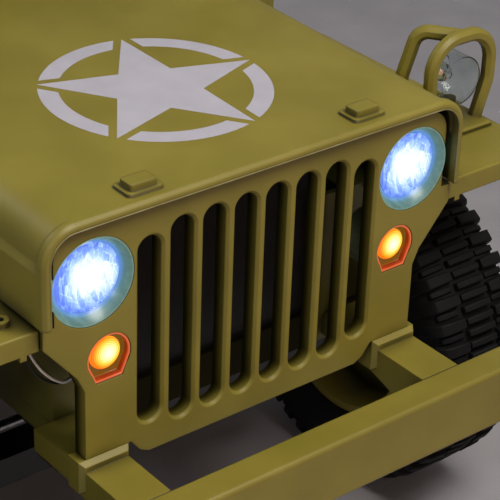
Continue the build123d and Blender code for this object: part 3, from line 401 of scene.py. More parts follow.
def floor_felt():
    """Pale needle felt under the car: grey with faint cloudy patches and a short pile."""
    return plain_finish("pale grey felt", {"Roughness": 0.95}, 90.0, ("#a5a3ab", "#aaa8b0", "#afadb5"),
                        fine_grain, 3.0, 0.6, 4.0)


# Settings that a user would change

def length(name, description, mm):
    """A setting for a length, whose default is given in millimetres."""
    return FloatProperty(name=name, description=description, default=mm * MM, unit="LENGTH")


def lamp_power(name, description, watts):
    """A setting for the power of a lamp of the stage."""
    return FloatProperty(name=name, description=description, default=watts, unit="POWER")


class StarSettings(bpy.types.PropertyGroup):
    tip_radius: length("Star tip radius", "From the middle to a point of the star", 101.4)
    notch_radius: length("Star notch radius", "From the middle to an inner corner", 40.3)
    ring_outer: length("Ring outer radius", "Outer radius of the broken ring", 100.8)
    ring_inner: length("Ring inner radius", "Inner radius of the broken ring", 83.5)
    gap: length("Gap", "Bare strip between the star's edges and the ring", 7.0)
    back: length("Distance behind the grille", "From the grille face to the star's middle", 149.0)
    ink: length("Ink thickness", "How far the ink stands over the bonnet", 0.12)


class LipSettings(bpy.types.PropertyGroup):
    bead: length("Lip width", "From the bonnet's outside to the inside of its lip", 7.0)
    corner: length("Lip corner", "Inner corner radius of the lip", 24.0)
    # The lip's painted highlight is a tube of this radius.
    edge: length("Edge radius", "Radius of the painted lip highlight", 0.65)


class TyreSettings(bpy.types.PropertyGroup):
    lugs: IntProperty(name="Shoulder lugs", description="Lugs on each shoulder of a tyre", default=44)
    lug_height: length("Lug height", "How far the tread stands over the carcass", 8.5)
    groove: length("Centre band", "Half width of the centre band of narrow bars", 17.0)
    bolt_circle: length("Bolt circle", "From the wheel's axis to its bolts", 40.0)
    bolt_turn: FloatProperty(name="Bolt turn", description="Where the first wheel bolt stands", default=0.0,
                             unit="ROTATION")


class InsideSettings(bpy.types.PropertyGroup):
    grip: length("Steering wheel grip", "Radius of the steering wheel's rim section", 8.4)
    dial: length("Dial radius", "Radius of the dial's face", 24.0)
    dial_height: length("Dial height", "Height of the dial's middle over the ground", 460.0)
    seam: length("Seam radius", "Radius of the seat seams", 1.3)
    mat: length("Mat thickness", "Thickness of the floor mats", 3.0)
    gasket: length("Gasket width", "Width of the strip round the windscreen panes", 6.0)


class LampSettings(bpy.types.PropertyGroup):
    cup_depth: length("Cup depth", "From the grille face to the foot of the cup's wall", 9.0)
    cup_slope: length("Cup wall", "How far the sloping wall runs inward", 6.9)
    ring_width: length("Blue ring", "Width of the bright ring round the reflector", 1.4)
    lens_radius: length("Amber lens", "Radius of the marker lamp's lens", 14.4)
    lens_recess: length("Amber lens recess", "From the grille face back to the lens's edge", 5.5)


class StageSettings(bpy.types.PropertyGroup):
    key_power: lamp_power("Key light", "Power of the large soft lamp", 33.0)
    fill_power: lamp_power("Fill light", "Power of the small side lamp", 5.0)
    warm_power: lamp_power("Warm light", "Power of the amber lamp low before the grille", 0.9)
    back_power: lamp_power("Back light", "Power of the soft lamp behind the car", 18.0)
    sky: FloatProperty(name="Sky", description="Strength of the even light from all round", default=0.22)
    sky_colour: FloatVectorProperty(name="Sky colour", description="Colour of the even light", subtype="COLOR",
                                    size=4, default=srgb("#f3f0ea"))


# Places and shapes

SIDES = (("left", 1), ("right", -1))  # name, sign of X


def box_of(node):
    low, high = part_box(node)
    return low, high, (low + high) / 2


def finish_on(node):
    return frame["nodes"][node].data.materials[0]


def facing(centre, direction):
    """A frame at centre whose local Z looks along direction."""
    turn = Vector(direction).to_track_quat("Z", "Y")
    return Matrix.Translation(Vector(centre)) @ turn.to_matrix().to_4x4()


def surface_of(node):
    """A tree over a CAD node's faces, for setting pieces down on it."""
    data = frame["nodes"][node].data
    return BVHTree.FromPolygons([v.co for v in data.vertices], [p.vertices for p in data.polygons])


FAR = 2.0  # from the origin, outside the car on every side


def height_at(tree, x, y):
    """The height of the topmost surface at (x, y)."""
    hit = tree.ray_cast(Vector((x, y, FAR)), Vector((0, 0, -1)))
    if hit[0] is None:
        raise RuntimeError("nothing lies under a piece that is set down")
    return hit[0].z


def set_on(tree, x, z):
    """A frame on the rearmost surface at (x, z), whose local Z looks to the rear."""
    hit = tree.ray_cast(Vector((x, FAR, z)), Vector((0, -1, 0)))
    if hit[0] is None:
        raise RuntimeError("nothing stands behind a piece of the dashboard")
    return facing(hit[0], (0, 1, 0))


def ringed_faces(mesh, lower, upper):
    """Joins two rings of equally many corners with faces."""
    for i in range(len(lower)):
        j = (i + 1) % len(lower)
        mesh.faces.new((lower[i], lower[j], upper[j], upper[i]))


def circle(radius, count):
    return [(radius * cos(tau * i / count), radius * sin(tau * i / count)) for i in range(count)]


def lathe(mesh, profile, count, closed=True):
    """Revolves (radius, height) pairs round local Z. A closed profile joins its last pair to its first."""
    rings = []
    for radius, height in profile:
        spots = circle(radius, count) if radius > 1e-7 else [(0, 0)]
        rings.append([mesh.verts.new((x, y, height)) for x, y in spots])
    for lower, upper in list(zip(rings, rings[1:] + rings[:1]))[:None if closed else -1]:
        for i in range(count):
            j = (i + 1) % count
            corners = (lower[i % len(lower)], lower[j % len(lower)], upper[j % len(upper)], upper[i % len(upper)])
            distinct = list(dict.fromkeys(corners))
            if len(distinct) > 2:
                mesh.faces.new(distinct)


def crown(radius, edge, rise, shares):
    """(radius, height) pairs over a crown that stands at edge on its rim and rises by rise to its middle."""
    return [(radius * share, edge + rise * (1 - share * share)) for share in shares]


def prism(mesh, outline, low, high):
    """Fills a flat outline of (x, y) pairs and raises it from low to high along local Z."""
    bottom, top = [[mesh.verts.new((x, y, z)) for x, y in outline] for z in (low, high)]
    mesh.faces.new(list(reversed(bottom)))
    mesh.faces.new(top)
    ringed_faces(mesh, bottom, top)


def block(mesh, low, high):
    """A box between two corners."""
    prism(mesh, [(low[0], low[1]), (high[0], low[1]), (high[0], high[1]), (low[0], high[1])], low[2], high[2])


def join_into(mesh, part, place):
    """Adds a part to mesh at its place and frees it."""
    part.transform(place)
    data = bpy.data.meshes.new("part")
    part.to_mesh(data)
    part.free()
    mesh.from_mesh(data)
    bpy.data.meshes.remove(data)


def linked(name, data):
    """A new object in the scene."""
    thing = bpy.data.objects.new(name, data)
    bpy.context.scene.collection.objects.link(thing)
    return thing


def finish_piece(name, mesh, finish, body, place=None, bevel=0.0):
    """Turns a bmesh into a piece that rides on a body, with its finish and edges softened by bevel mm."""
    sharp = radians(35)
    bmesh.ops.recalc_face_normals(mesh, faces=mesh.faces)
    data = bpy.data.meshes.new(name)
    mesh.to_mesh(data)
    mesh.free()
    data.materials.append(finish)
    data.shade_smooth()
    data.set_sharp_from_angle(angle=sharp)
    piece = linked(name, data)
    if place is not None:
        piece.matrix_world = place
    if bevel:
        edge = piece.modifiers.new("soft edges", "BEVEL")
        edge.width = bevel * MM
        edge.segments = 2
        edge.limit_method = "ANGLE"
        edge.angle_limit = sharp
    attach(piece, body)
    return piece


def tube(name, points, radius, finish, body):
    """A round tube with closed ends along a smooth curve whose control points are given."""
    curve = bpy.data.curves.new(name, "CURVE")
    curve.dimensions = "3D"
    curve.bevel_depth = radius
    curve.bevel_resolution = 4
    curve.use_fill_caps = True
    spline = curve.splines.new("NURBS")
    spline.points.add(len(points) - 1)
    for knot, point in zip(spline.points, points):
        knot.co = (*point, 1)
    spline.order_u = 3
    spline.use_endpoint_u = True
    curve.materials.append(finish)
    piece = linked(name, curve)
    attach(piece, body)
    return piece


# Finishes of the CAD nodes

def dress_nodes(names, finish):
    for name in names:
        cad = frame["nodes"][name]
        cad.data.materials.clear()
        cad.data.materials.append(finish)


class RIDEON_OT_finishes(bpy.types.Operator):
    """Give each carried-over solid the finish of the real part"""
    bl_idname = "rideon.finishes"
    bl_label = "Body Finishes"

    def execute(self, context):
        olive = satin_olive_polypropylene()
        black = textured_black_polypropylene()
        zinc = zinc_plated_steel()
        coated = black_powder_coated_steel()
        by_slot = {
            "body_paint": olive,
            "rim": olive,
            "frame_plastic": black,
            "steel": zinc,
            "seat_plastic": seat_leatherette(),
            "battery_case": black,
            "tyre": blow_moulded_black_polyethylene(),
            "screen_clear": clear_acrylic_sheet(),
            "lamp_clear": clear_polystyrene(),
            "lamp_amber": lit_amber_housing(),
            "lamp_red": red_polystyrene_lens(),
            "lead_insulation": lead_insulation("white PVC insulation", ("#e4e3dc", "#ecebe5", "#f2f1ec")),
        }
        for part in frame["record"]["subparts"]:
            dress_nodes([part["node"]], by_slot[part["material_slot"]])
        dress_nodes(["frame", "front_axle"], coated)
        dress_nodes(["bonnet"], bonnet_olive_polypropylene())
        dress_nodes(["grille"], grille_olive_polypropylene())
        dress_nodes(["engine_bay"], bay_olive_polypropylene())
        dress_nodes(["marker_housing_left", "marker_housing_right"], pale_green_polypropylene())
        return {"FINISHED"}


# Star in a broken ring on the bonnet

def on_circle(radius, angle):
    return Vector((radius * cos(angle), radius * sin(angle)))


def star_outline(star):
    """Corners of a five-pointed star, one tip toward the car's left."""
    return [tuple(on_circle((star.tip_radius, star.notch_radius)[i % 2], tau * i / 10)) for i in range(10)]


def ring_end(star, radius, tip_angle, side):
    """The angle at which the bare strip beside a star arm crosses a circle."""
    tip = on_circle(star.tip_radius, tip_angle)
    along = (on_circle(star.notch_radius, tip_angle + side * tau / 10) - tip).normalized()
    outward = Vector((-along.y, along.x))
    if outward.dot(tip) < 0:
        outward = -outward
    start = tip + outward * star.gap
    half = start.dot(along)
    root = sqrt(half * half - start.length_squared + radius * radius)
    crossings = [start + along * reach for reach in (-half - root, -half + root)]
    nearer = min(crossings, key=lambda crossing: (crossing - tip).length)
    return atan2(nearer.y, nearer.x) % tau


def ring_sector(star, index, steps=14):
    """One arc of the ring between two neighbouring tips."""
    outline = []
    for radius, turn in ((star.ring_outer, 1), (star.ring_inner, -1)):
        start = ring_end(star, radius, tau * index / 5, 1)
        stop = ring_end(star, radius, tau * (index + 1) / 5, -1)
        if stop < start:
            stop += tau
        angles = [start + (stop - start) * i / steps for i in range(steps + 1)]
        outline += [tuple(on_circle(radius, angle)) for angle in angles[::turn]]
    return outline


class RIDEON_OT_star(bpy.types.Operator):
    """Print the star in a broken ring on the bonnet"""
    bl_idname = "rideon.star"
    bl_label = "Bonnet Star"

    def execute(self, context):
        star = context.scene.ride_on_star
        skin = surface_of("bonnet")
        middle_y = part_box("grille")[0].y + star.back
        reach = star.tip_radius
        front_z = height_at(skin, 0, middle_y - reach)
        back_z = height_at(skin, 0, middle_y + reach)
        slope = (back_z - front_z) / (2 * reach)
        mesh = bmesh.new()
        for outline in [star_outline(star)] + [ring_sector(star, i) for i in range(5)]:
            prism(mesh, outline, 0, star.ink)
        for vert in mesh.verts:
            vert.co.z += (front_z + back_z) / 2 + slope * vert.co.y
            vert.co.y += middle_y
        bmesh.ops.triangulate(mesh, faces=[f for f in mesh.faces if len(f.verts) > 4])
        finish_piece("bonnet_star", mesh, pad_printed_grey_ink(), "bonnet")
        return {"FINISHED"}


# Painted highlight: a thin pale tube along the inside of the bonnet's lip

class RIDEON_OT_lip_edge(bpy.types.Operator):
    """Run the thin pale tube of painted highlight round the inside of the bonnet's lip"""
    bl_idname = "rideon.lip_edge"
    bl_label = "Lip Edge"

    def execute(self, context):
        lip = context.scene.ride_on_lip
        low, high, _ = box_of("bonnet")
        half = (high.x - low.x) / 2 - lip.bead
        top = height_at(surface_of("bonnet"), 0, low.y + lip.bead) - lip.bead
        corner_x, corner_z = half - lip.corner, top - lip.corner
        foot = low.z + 2 * MM
        face_y = low.y + 0.2 * MM
        points = [(-half, foot), (-half, corner_z)]
        points += [(-corner_x - lip.corner * cos(radians(a)), corner_z + lip.corner * sin(radians(a)))
                   for a in range(15, 90, 15)]
        points += [(-corner_x, top), (0, top)]
        points += [(-x, z) for x, z in reversed(points[:-1])]
        tube("bonnet_lip_painted_highlight", [(x, face_y, z) for x, z in points], lip.edge, painted_lip_highlight(), "bonnet")
        return {"FINISHED"}


# Headlamps: clear cup, facetted lit reflector and a clear cover

CROWN_SHARES = (0, 0.2, 0.4, 0.6, 0.8, 0.93, 1.0)


class RIDEON_OT_headlamps(bpy.types.Operator):
    """Make both headlamps with cup, reflector and cover"""
    bl_idname = "rideon.headlamps"
    bl_label = "Headlamps"

    def execute(self, context):
        lamp = context.scene.ride_on_lamp
        cup_finish = lit_clear_cup()
        bowl_finish = lit_white_reflector()
        cover_finish = clear_polystyrene()
        for side, _ in SIDES:
            node = f"headlamp_{side}"
            low, high, middle = box_of(node)
            radius = (high.x - low.x) / 2
            depth = high.y - low.y
            foot = radius - lamp.cup_slope
            bowl = foot - lamp.ring_width
            floor = -lamp.cup_depth
            throat, flange = radius - 9 * MM, -20 * MM
            place = facing((middle.x, low.y, middle.z), (0, -1, 0))
            mesh = bmesh.new()
            lathe(mesh, [(radius, -0.5 * MM), (radius - 0.5 * MM, 0), (radius - 1.1 * MM, -0.3 * MM),
                         (foot + 0.6 * MM, floor + 0.7 * MM), (foot, floor), (bowl + 1.2 * MM, floor + 0.5 * MM),
                         (bowl, floor - 1.2 * MM), (bowl, -depth), (throat, -depth), (throat, flange),
                         (radius, flange)], 96)
            cup = finish_piece(f"headlamp_cup_{side}", mesh, cup_finish, "root", place)
            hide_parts(node)
            mesh = bmesh.new()
            lathe(mesh, crown(bowl, floor - 1.4 * MM, -5 * MM, CROWN_SHARES), 64, closed=False)
            finish_piece(f"headlamp_reflector_{side}", mesh, bowl_finish, "root", place)
            mesh = bmesh.new()
            outer = crown(bowl, floor, 2.2 * MM, CROWN_SHARES)
            lathe(mesh, outer + [(r, z - 1.0 * MM) for r, z in reversed(outer)], 64, closed=False)
            finish_piece(f"headlamp_cover_{side}", mesh, cover_finish, "root", place)
        return {"FINISHED"}


# Amber marker lamps: pocket with a flat foot and a ringed lens

POCKET_SLOPE = 2.75  # how far a pocket's straight side runs down for each step inward
ROUND_END = 0.28  # share of the radius below the middle at which a pocket's round top ends
ROUND_OPENING = 0.92  # share of the foot's half width from which the round top's points are counted


def pocket_outline(radius, drop, foot, steps=28):
    """A round top that runs down to a narrower flat foot, as (x, y) pairs."""
    side = asin(min(1.0, foot / radius * ROUND_OPENING))
    angles = [-pi / 2 + side + (tau - 2 * side) * i / steps for i in range(steps + 1)]
    round_top = [(radius * cos(angle), radius * sin(angle)) for angle in angles]
    return [(x, y) for x, y in round_top if y > -radius * ROUND_END] + [(-foot, -drop), (foot, -drop)]


class RIDEON_OT_markers(bpy.types.Operator):
    """Make both amber marker lamps"""
    bl_idname = "rideon.markers"
    bl_label = "Marker Lamps"

    def execute(self, context):
        lamp = context.scene.ride_on_lamp
        housing_finish = lit_amber_housing()
        lens_finish = lit_amber_lens()
        wall, back, rim, bottom = 1.6 * MM, -17 * MM, -0.6 * MM, -7.5 * MM
        face_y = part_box("grille")[0].y
        for side, _ in SIDES:
            node = f"marker_lamp_{side}"
            low, high, middle = box_of(node)
            radius = (high.x - low.x) / 2
            drop = high.z - low.z - radius
            foot = radius - drop / POCKET_SLOPE
            place = facing((middle.x, face_y, high.z - radius), (0, -1, 0))
            outer = pocket_outline(radius, drop, foot)
            inner = pocket_outline(radius - wall, drop - wall, foot - wall * 0.7)
            mesh = bmesh.new()
            rings = [[mesh.verts.new((x, y, z)) for x, y in outline]
                     for outline, z in ((outer, back), (outer, rim), (inner, rim), (inner, bottom))]
            mesh.faces.new(list(reversed(rings[0])))
            mesh.faces.new(rings[-1])
            for lower, upper in zip(rings, rings[1:]):
                ringed_faces(mesh, lower, upper)
            pocket = finish_piece(f"marker_pocket_{side}", mesh, housing_finish, "root", place,
                                  bevel=0.5)
            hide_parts(node)
            mesh = bmesh.new()
            profile = [(lamp.lens_radius, -9 * MM), (lamp.lens_radius, -lamp.lens_recess - 0.6 * MM)]
            profile += crown(lamp.lens_radius, -lamp.lens_recess, 2.4 * MM, (0.97, 0.85, 0.7, 0.5, 0.3, 0.15, 0))
            lathe(mesh, profile, 64, closed=False)
            finish_piece(f"marker_lens_{side}", mesh, lens_finish, "root", place)
        return {"FINISHED"}


# Leads from the tray's flange to the boxes behind the marker lamps, as (x, behind the grille face, z) in mm

WHITE_LEAD = in_mm((212, 30, 396.3), (206, 26, 377), (191, 25, 357), (172, 28, 343), (157, 31, 351.8))
DARK_LEAD = in_mm((216, 34, 396.3), (210, 30, 374), (194, 31, 353), (170, 34, 339), (150, 36, 351.8))
LEAD_RADIUS = 1.1 * MM


class RIDEON_OT_leads(bpy.types.Operator):
    """Make the two leads behind each end of the grille"""
    bl_idname = "rideon.leads"
    bl_label = "Lamp Leads"

    def execute(self, context):
        white = finish_on("lamp_leads_left")
        dark = lead_insulation("dark blue PVC insulation", ("#15171f", "#1b1e29", "#222634"))
        face_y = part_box("grille")[0].y
        for name, side in SIDES:
            for colour, route, finish in (("white", WHITE_LEAD, white), ("dark", DARK_LEAD, dark)):
                points = [(side * x, face_y + back, z) for x, back, z in route]
                lead = tube(f"{colour}_lead_{name}", points, LEAD_RADIUS, finish, "root")
                if colour == "white":
                    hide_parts(f"lamp_leads_{name}")
        return {"FINISHED"}


# Tyres: rounded carcass, shoulder lugs and narrow centre bars

BLOCK_TAPER = 0.86  # length of a tread block's top as a share of its foot


def tread_block(mesh, stations, turn):
    """One tread block from (x, half length, foot radius, top radius) stations, turned to its place."""
    rings = []
    for x, half, foot, top in stations:
        corners = [(-half, foot), (half, foot), (half * BLOCK_TAPER, top), (-half * BLOCK_TAPER, top)]
        rings.append([mesh.verts.new(turn @ Vector((x, along, radius))) for along, radius in corners])
    mesh.faces.new(rings[0])
    mesh.faces.new(list(reversed(rings[-1])))
    for a, b in zip(rings, rings[1:]):
        for i in range(4):
            j = (i + 1) % 4
            mesh.faces.new((a[i], b[i], b[j], a[j]))


def mirrored(stations):
    return [(-x, half, foot, top) for x, half, foot, top in reversed(stations)]


def tyre_mesh(radius, width, bead, settings):
    """A tyre round the X axis, its outer side toward +X."""
    mesh = bmesh.new()
    half = width / 2
    crown_radius = radius - settings.lug_height
    # mm over the bead or over the crown, mm in from the sidewall's outside
    sidewall = ((0, 10), (3, 6), (9, 3.5), (12, 3.8), (14, 2.4), (24, 0.6), (34, 0.2), (37, 0.9))
    shoulder = ((-22, 1.6), (-12, 4), (-4, 9), (-1, 15), (0, 24))
    profile = [(bead + over * MM, -half + inward * MM) for over, inward in sidewall]
    profile += [(crown_radius + over * MM, -half + inward * MM) for over, inward in shoulder]
    profile += [(crown_radius + 0.6 * MM, 0)]
    profile += [(r, -x) for r, x in reversed(profile[:-1])]
    lathe(mesh, profile, 132)
    mesh.transform(Matrix.Rotation(pi / 2, 4, "Y"))
    pitch = tau / settings.lugs
    edge = settings.groove
    # x, then in mm: half length, foot under the crown, top under the tyre's radius
    lug = ((edge + 3 * MM, 5.6, 2, 0.2), (half - 16 * MM, 6.4, 3, 0.6), (half - 7 * MM, 6.6, 10, 3.5),
           (half - 2.5 * MM, 6.2, 20, 11), (half - 0.6 * MM, 5.2, 30, 24))
    bar = ((-edge, 3.6, 2, 1.2), (0, 3.8, 2, 0), (edge, 3.6, 2, 1.2))
    lug, bar = [[(x, length * MM, crown_radius - foot * MM, radius - top * MM) for x, length, foot, top in rows]
                for rows in (lug, bar)]
    # x, then in mm: half length, foot under the crown, top over the crown
    low_lug = [(x, length * MM, crown_radius - foot * MM, crown_radius + top * MM) for x, length, foot, top in
               ((edge + 5 * MM, 3.2, 2, 3.4), (half - 16 * MM, 3.6, 3, 3.0), (half - 8 * MM, 3.4, 8, -0.5))]
    for i in range(settings.lugs):
        for stations, ahead in ((lug, 0), (low_lug, 0.5)):
            turn = Matrix.Rotation((i + ahead) * pitch + pi, 4, "X")
            tread_block(mesh, stations, turn)
            tread_block(mesh, mirrored(stations), turn)
    for i in range(2 * settings.lugs):
        tread_block(mesh, bar, Matrix.Rotation(i * pitch / 2 + pi, 4, "X"))
    return mesh


WHEELS = (
    # tyre node, rim node, body, outer side
    ("tyre_front_left", "rim_front_left", "wheel_front_left", (1, 0, 0)),
    ("tyre_front_right", "rim_front_right", "wheel_front_right", (-1, 0, 0)),
    ("tyre_rear_left", "rim_rear_left", "wheel_rear_left", (1, 0, 0)),
    ("tyre_rear_right", "rim_rear_right", "wheel_rear_right", (-1, 0, 0)),
    ("spare_tyre", "spare_rim", "root", (0, 1, 0)),
)


def turned_to(centre, outer_side):
    """A frame whose local X points to the wheel's outer side and whose local Z stays upright."""
    x, z = Vector(outer_side), Vector((0, 0, 1))
    return Matrix.Translation(centre) @ Matrix((x, z.cross(x), z)).transposed().to_4x4()


class RIDEON_OT_tyres(bpy.types.Operator):
    """Make the five tyres with their tread"""
    bl_idname = "rideon.tyres"
    bl_label = "Tyres"

    def execute(self, context):
        finish = finish_on("tyre_front_left")
        for tyre, rim, body, outer_side in WHEELS:
            low, high, middle = box_of(tyre)
            width = min(high.x - low.x, high.y - low.y)
            rim_low, rim_high, _ = box_of(rim)
            mesh = tyre_mesh((high.z - low.z) / 2, width, (rim_high.z - rim_low.z) / 2, context.scene.ride_on_tyre)
            piece = finish_piece(tyre + "_tread", mesh, finish, body, turned_to(middle, outer_side),
                                 bevel=1.2)
            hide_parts(tyre)
        return {"FINISHED"}


class RIDEON_OT_wheel_caps(bpy.types.Operator):
    """Put a cap over each hub and a zinc bolt on each wheel nut"""
    bl_idname = "rideon.wheel_caps"
    bl_label = "Wheel Caps"

    def execute(self, context):
        wheel = context.scene.ride_on_tyre
        zinc = zinc_plated_steel()
        for tyre, rim, body, outer_side in WHEELS:
            place = turned_to(box_of(tyre)[2], outer_side) @ Matrix.Rotation(pi / 2, 4, "Y")
            cap = bmesh.new()
            lathe(cap, in_mm((21, 30), (21, 35), (19, 39.5), (12, 43), (0, 44), (0, 42), (11, 41), (15, 38.5),
                             (15, 30)), 40)
            finish_piece(rim + "_cap", cap, zinc, body, place, bevel=0.6)
            bolts = bmesh.new()
            for i in range(5):
                bolt = bmesh.new()
                prism(bolt, circle(5.5 * MM, 6), 20 * MM, 25 * MM)
                turn = Matrix.Rotation(tau * i / 5 + wheel.bolt_turn, 4, "Z")
                join_into(bolts, bolt, turn @ Matrix.Translation((wheel.bolt_circle, 0, 0)))
            finish_piece(rim + "_bolts", bolts, zinc, body, place, bevel=0.5)
        return {"FINISHED"}


# Lamp on the left fender, inside its guard

class RIDEON_OT_guard_lamp(bpy.types.Operator):
    """Make the clear fender lamp with its chromed bulb holder"""
    bl_idname = "rideon.guard_lamp"
    bl_label = "Fender Lamp"

    def execute(self, context):
        low, high, middle = box_of("guard_lamp")
        radius = (high.x - low.x) / 2
        depth = high.y - low.y
        centre = Vector((middle.x, low.y, high.z - radius))
        place = facing(centre, (0, -1, 0))
        mesh = bmesh.new()
        # shares of the radius and of the depth
        holder = ((0, 0.55), (0.16, 0.57), (0.2, 0.66), (0.36, 0.72), (0.4, 0.9), (0, 0.9))
        lathe(mesh, [(radius * out, -depth * back) for out, back in holder], 32, closed=False)
        finish_piece("fender_lamp_holder", mesh, chromed_abs(), "root", place)
        mesh = bmesh.new()
        wall = 1.3 * MM
        bulge, skirt_end, neck = depth * 0.14, -depth * 0.8, radius * 0.72
        front = [(radius * s, -bulge * s * s) for s in (0, 0.3, 0.6, 0.8, 0.93, 1.0)]
        skirt = [(radius, skirt_end), (neck, -depth), (radius * 0.66, -depth + 0.6 * MM)]
        inner = [(max(0.0, r - wall), z - wall) for r, z in front] + [(radius - wall, skirt_end)]
        lathe(mesh, front + skirt + inner[::-1], 48, closed=False)
        lens = finish_piece("fender_lamp_lens", mesh, clear_polystyrene(), "root", place)
        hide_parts("guard_lamp")
        mesh = bmesh.new()
        foot_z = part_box("lamp_guard")[0].z + 4.8 * MM
        stalk = 6.5 * MM
        top = centre.z - radius - foot_z + 3 * MM
        lathe(mesh, [(0, 0), (stalk * 1.5, 0), (stalk * 1.4, 3 * MM), (stalk, 5 * MM), (stalk, top), (0, top)], 24,
              closed=False)
        finish_piece("fender_lamp_stalk", mesh, satin_olive_polypropylene(), "root",
                     Matrix.Translation((middle.x, middle.y, foot_z)))
        return {"FINISHED"}


# Inside: steering wheel, dial and knobs, seams, windscreen gaskets, mats and pedal

class RIDEON_OT_steering(bpy.types.Operator):
    """Make the smooth steering wheel with its spokes, hub and shaft"""
    bl_idname = "rideon.steering"
    bl_label = "Steering Wheel"

    def execute(self, context):
        low, high, _ = box_of("steering_wheel")
        grip = context.scene.ride_on_inside.grip
        reach = (high.x - low.x) / 2 - grip - 0.4 * MM
        turn = next(joint for joint in frame["joints"] if joint["name"] == "steering_turn")
        mesh = bmesh.new()
        lathe(mesh, [(reach + across, along) for across, along in circle(grip, 14)], 80)
        lathe(mesh, in_mm((0, -60), (8, -60), (8, -9), (21, -9), (24, -6), (24, 4), (21.5, 7.5), (15, 8.4),
                          (13.5, 7.6), (12, 8.8), (0, 9)), 40, closed=False)
        root, tip, start, half = 10 * MM, 6 * MM, 18 * MM, 4 * MM
        for i in range(3):
            spoke = bmesh.new()
            prism(spoke, [(-root, start), (-tip, reach), (tip, reach), (root, start)], -half, half)
            join_into(mesh, spoke, Matrix.Rotation(pi + tau * i / 3, 4, "Z"))
        wheel = finish_piece("steering_wheel_rim", mesh, finish_on("steering_wheel"), "steering",
                             facing(turn["pos_m"], turn["axis"]), bevel=1.2)
        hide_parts("steering_wheel")
        return {"FINISHED"}


class RIDEON_OT_dashboard(bpy.types.Operator):
    """Put a dial face, its needle and ribbed knob caps on the dashboard"""
    bl_idname = "rideon.dashboard"
    bl_label = "Dashboard"

    def execute(self, context):
        inside = context.scene.ride_on_inside
        skin = surface_of("dashboard")
        marks, needle, knobs, face = bmesh.new(), bmesh.new(), bmesh.new(), bmesh.new()
        radius = inside.dial
        lathe(face, [(0, 0), (radius, 0), (radius, 0.5 * MM), (0, 0.5 * MM)], 48, closed=False)
        place = set_on(skin, 0, inside.dial_height)
        outer = radius - 2 * MM
        for i in range(21):
            mark = bmesh.new()
            length, half = (4.5 * MM, 0.5 * MM) if i % 5 == 0 else (2.6 * MM, 0.3 * MM)
            block(mark, (-half, outer - length, 0.4 * MM), (half, outer, 0.8 * MM))
            join_into(marks, mark, Matrix.Rotation(radians(120 - 12 * i), 4, "Z"))
        pointer = bmesh.new()
        root, tip, reach = 1.1 * MM, 0.3 * MM, radius - 6 * MM
        prism(pointer, [(-root, -4 * MM), (root, -4 * MM), (tip, reach), (-tip, reach)], 0.9 * MM, 1.3 * MM)
        join_into(needle, pointer, Matrix.Rotation(radians(120), 4, "Z"))
        lathe(needle, in_mm((0, 0.5), (2.6, 0.5), (2.6, 1.8), (0, 1.8)), 20, closed=False)
        for x in (-60 * MM, -100 * MM):
            cap = bmesh.new()
            lathe(cap, in_mm((0, -5), (9, -5), (9, 0), (7.5, 1.2), (0, 1.2)), 24, closed=False)
            block(cap, *in_mm((-1.6, -8.5, 1), (1.6, 8.5, 3.4)))
            join_into(knobs, cap, set_on(skin, x, inside.dial_height))
        for name, mesh, finish in (("face", face, textured_black_polypropylene()),
                                   ("marks", marks, pad_printed_grey_ink()),
                                   ("needle", needle, red_polystyrene_lens())):
            finish_piece("dial_" + name, mesh, finish, "root", place)
        finish_piece("dashboard_knobs", knobs, finish_on("dashboard"), "root", bevel=0.4)
        return {"FINISHED"}


SEAM_STEP = 0.08  # share of a seat's depth and height between the points of a seam
SEAM_FRONT, SEAM_FOOT = 0.04, 0.62  # where it starts on the cushion, and how far under the top on the back


class RIDEON_OT_seams(bpy.types.Operator):
    """Run the welded seams over both seats"""
    bl_idname = "rideon.seams"
    bl_label = "Seat Seams"

    def execute(self, context):
        for name in ("seat_left", "seat_right"):
            low, high, middle = box_of(name)
            size = high - low
            skin = surface_of(name)
            for number, share in enumerate((-0.5, 0.0, 0.5)):
                x = middle.x + share * size.x / 2
                points = []
                for i in range(9):
                    y = low.y + (SEAM_FRONT + SEAM_STEP * i) * size.y
                    points.append((x, y, height_at(skin, x, y)))
                for i in range(8):
                    z = high.z - (SEAM_FOOT - SEAM_STEP * i) * size.z
                    hit = skin.ray_cast(Vector((x, low.y - 100 * MM, z)), Vector((0, 1, 0)))
                    if hit[0] is not None and hit[0].y > points[-1][1]:
                        points.append(tuple(hit[0]))
                tube(f"{name}_seam_{number}", points, context.scene.ride_on_inside.seam, finish_on("seat_left"),
                     "root")
        return {"FINISHED"}


class RIDEON_OT_gaskets(bpy.types.Operator):
    """Lay a rubber strip round both windscreen panes"""
    bl_idname = "rideon.gaskets"
    bl_label = "Windscreen Gaskets"

    def execute(self, context):
        low, high, _ = box_of("windscreen_panes")
        bar = (box_of("windscreen_frame")[1].x - high.x) / 2
        strip = context.scene.ride_on_inside.gasket
        thick = strip * 0.6
        mesh = bmesh.new()
        for side in (-1, 1):
            left, right = sorted((side * bar, side * high.x))
            for y in (low.y - thick, high.y):
                far = y + thick
                block(mesh, (left, y, low.z), (right, far, low.z + strip))
                block(mesh, (left, y, high.z - strip), (right, far, high.z))
                block(mesh, (left, y, low.z + strip), (left + strip, far, high.z - strip))
                block(mesh, (right - strip, y, low.z + strip), (right, far, high.z - strip))
        finish_piece("windscreen_gaskets", mesh, textured_black_polypropylene(), "windscreen")
        return {"FINISHED"}


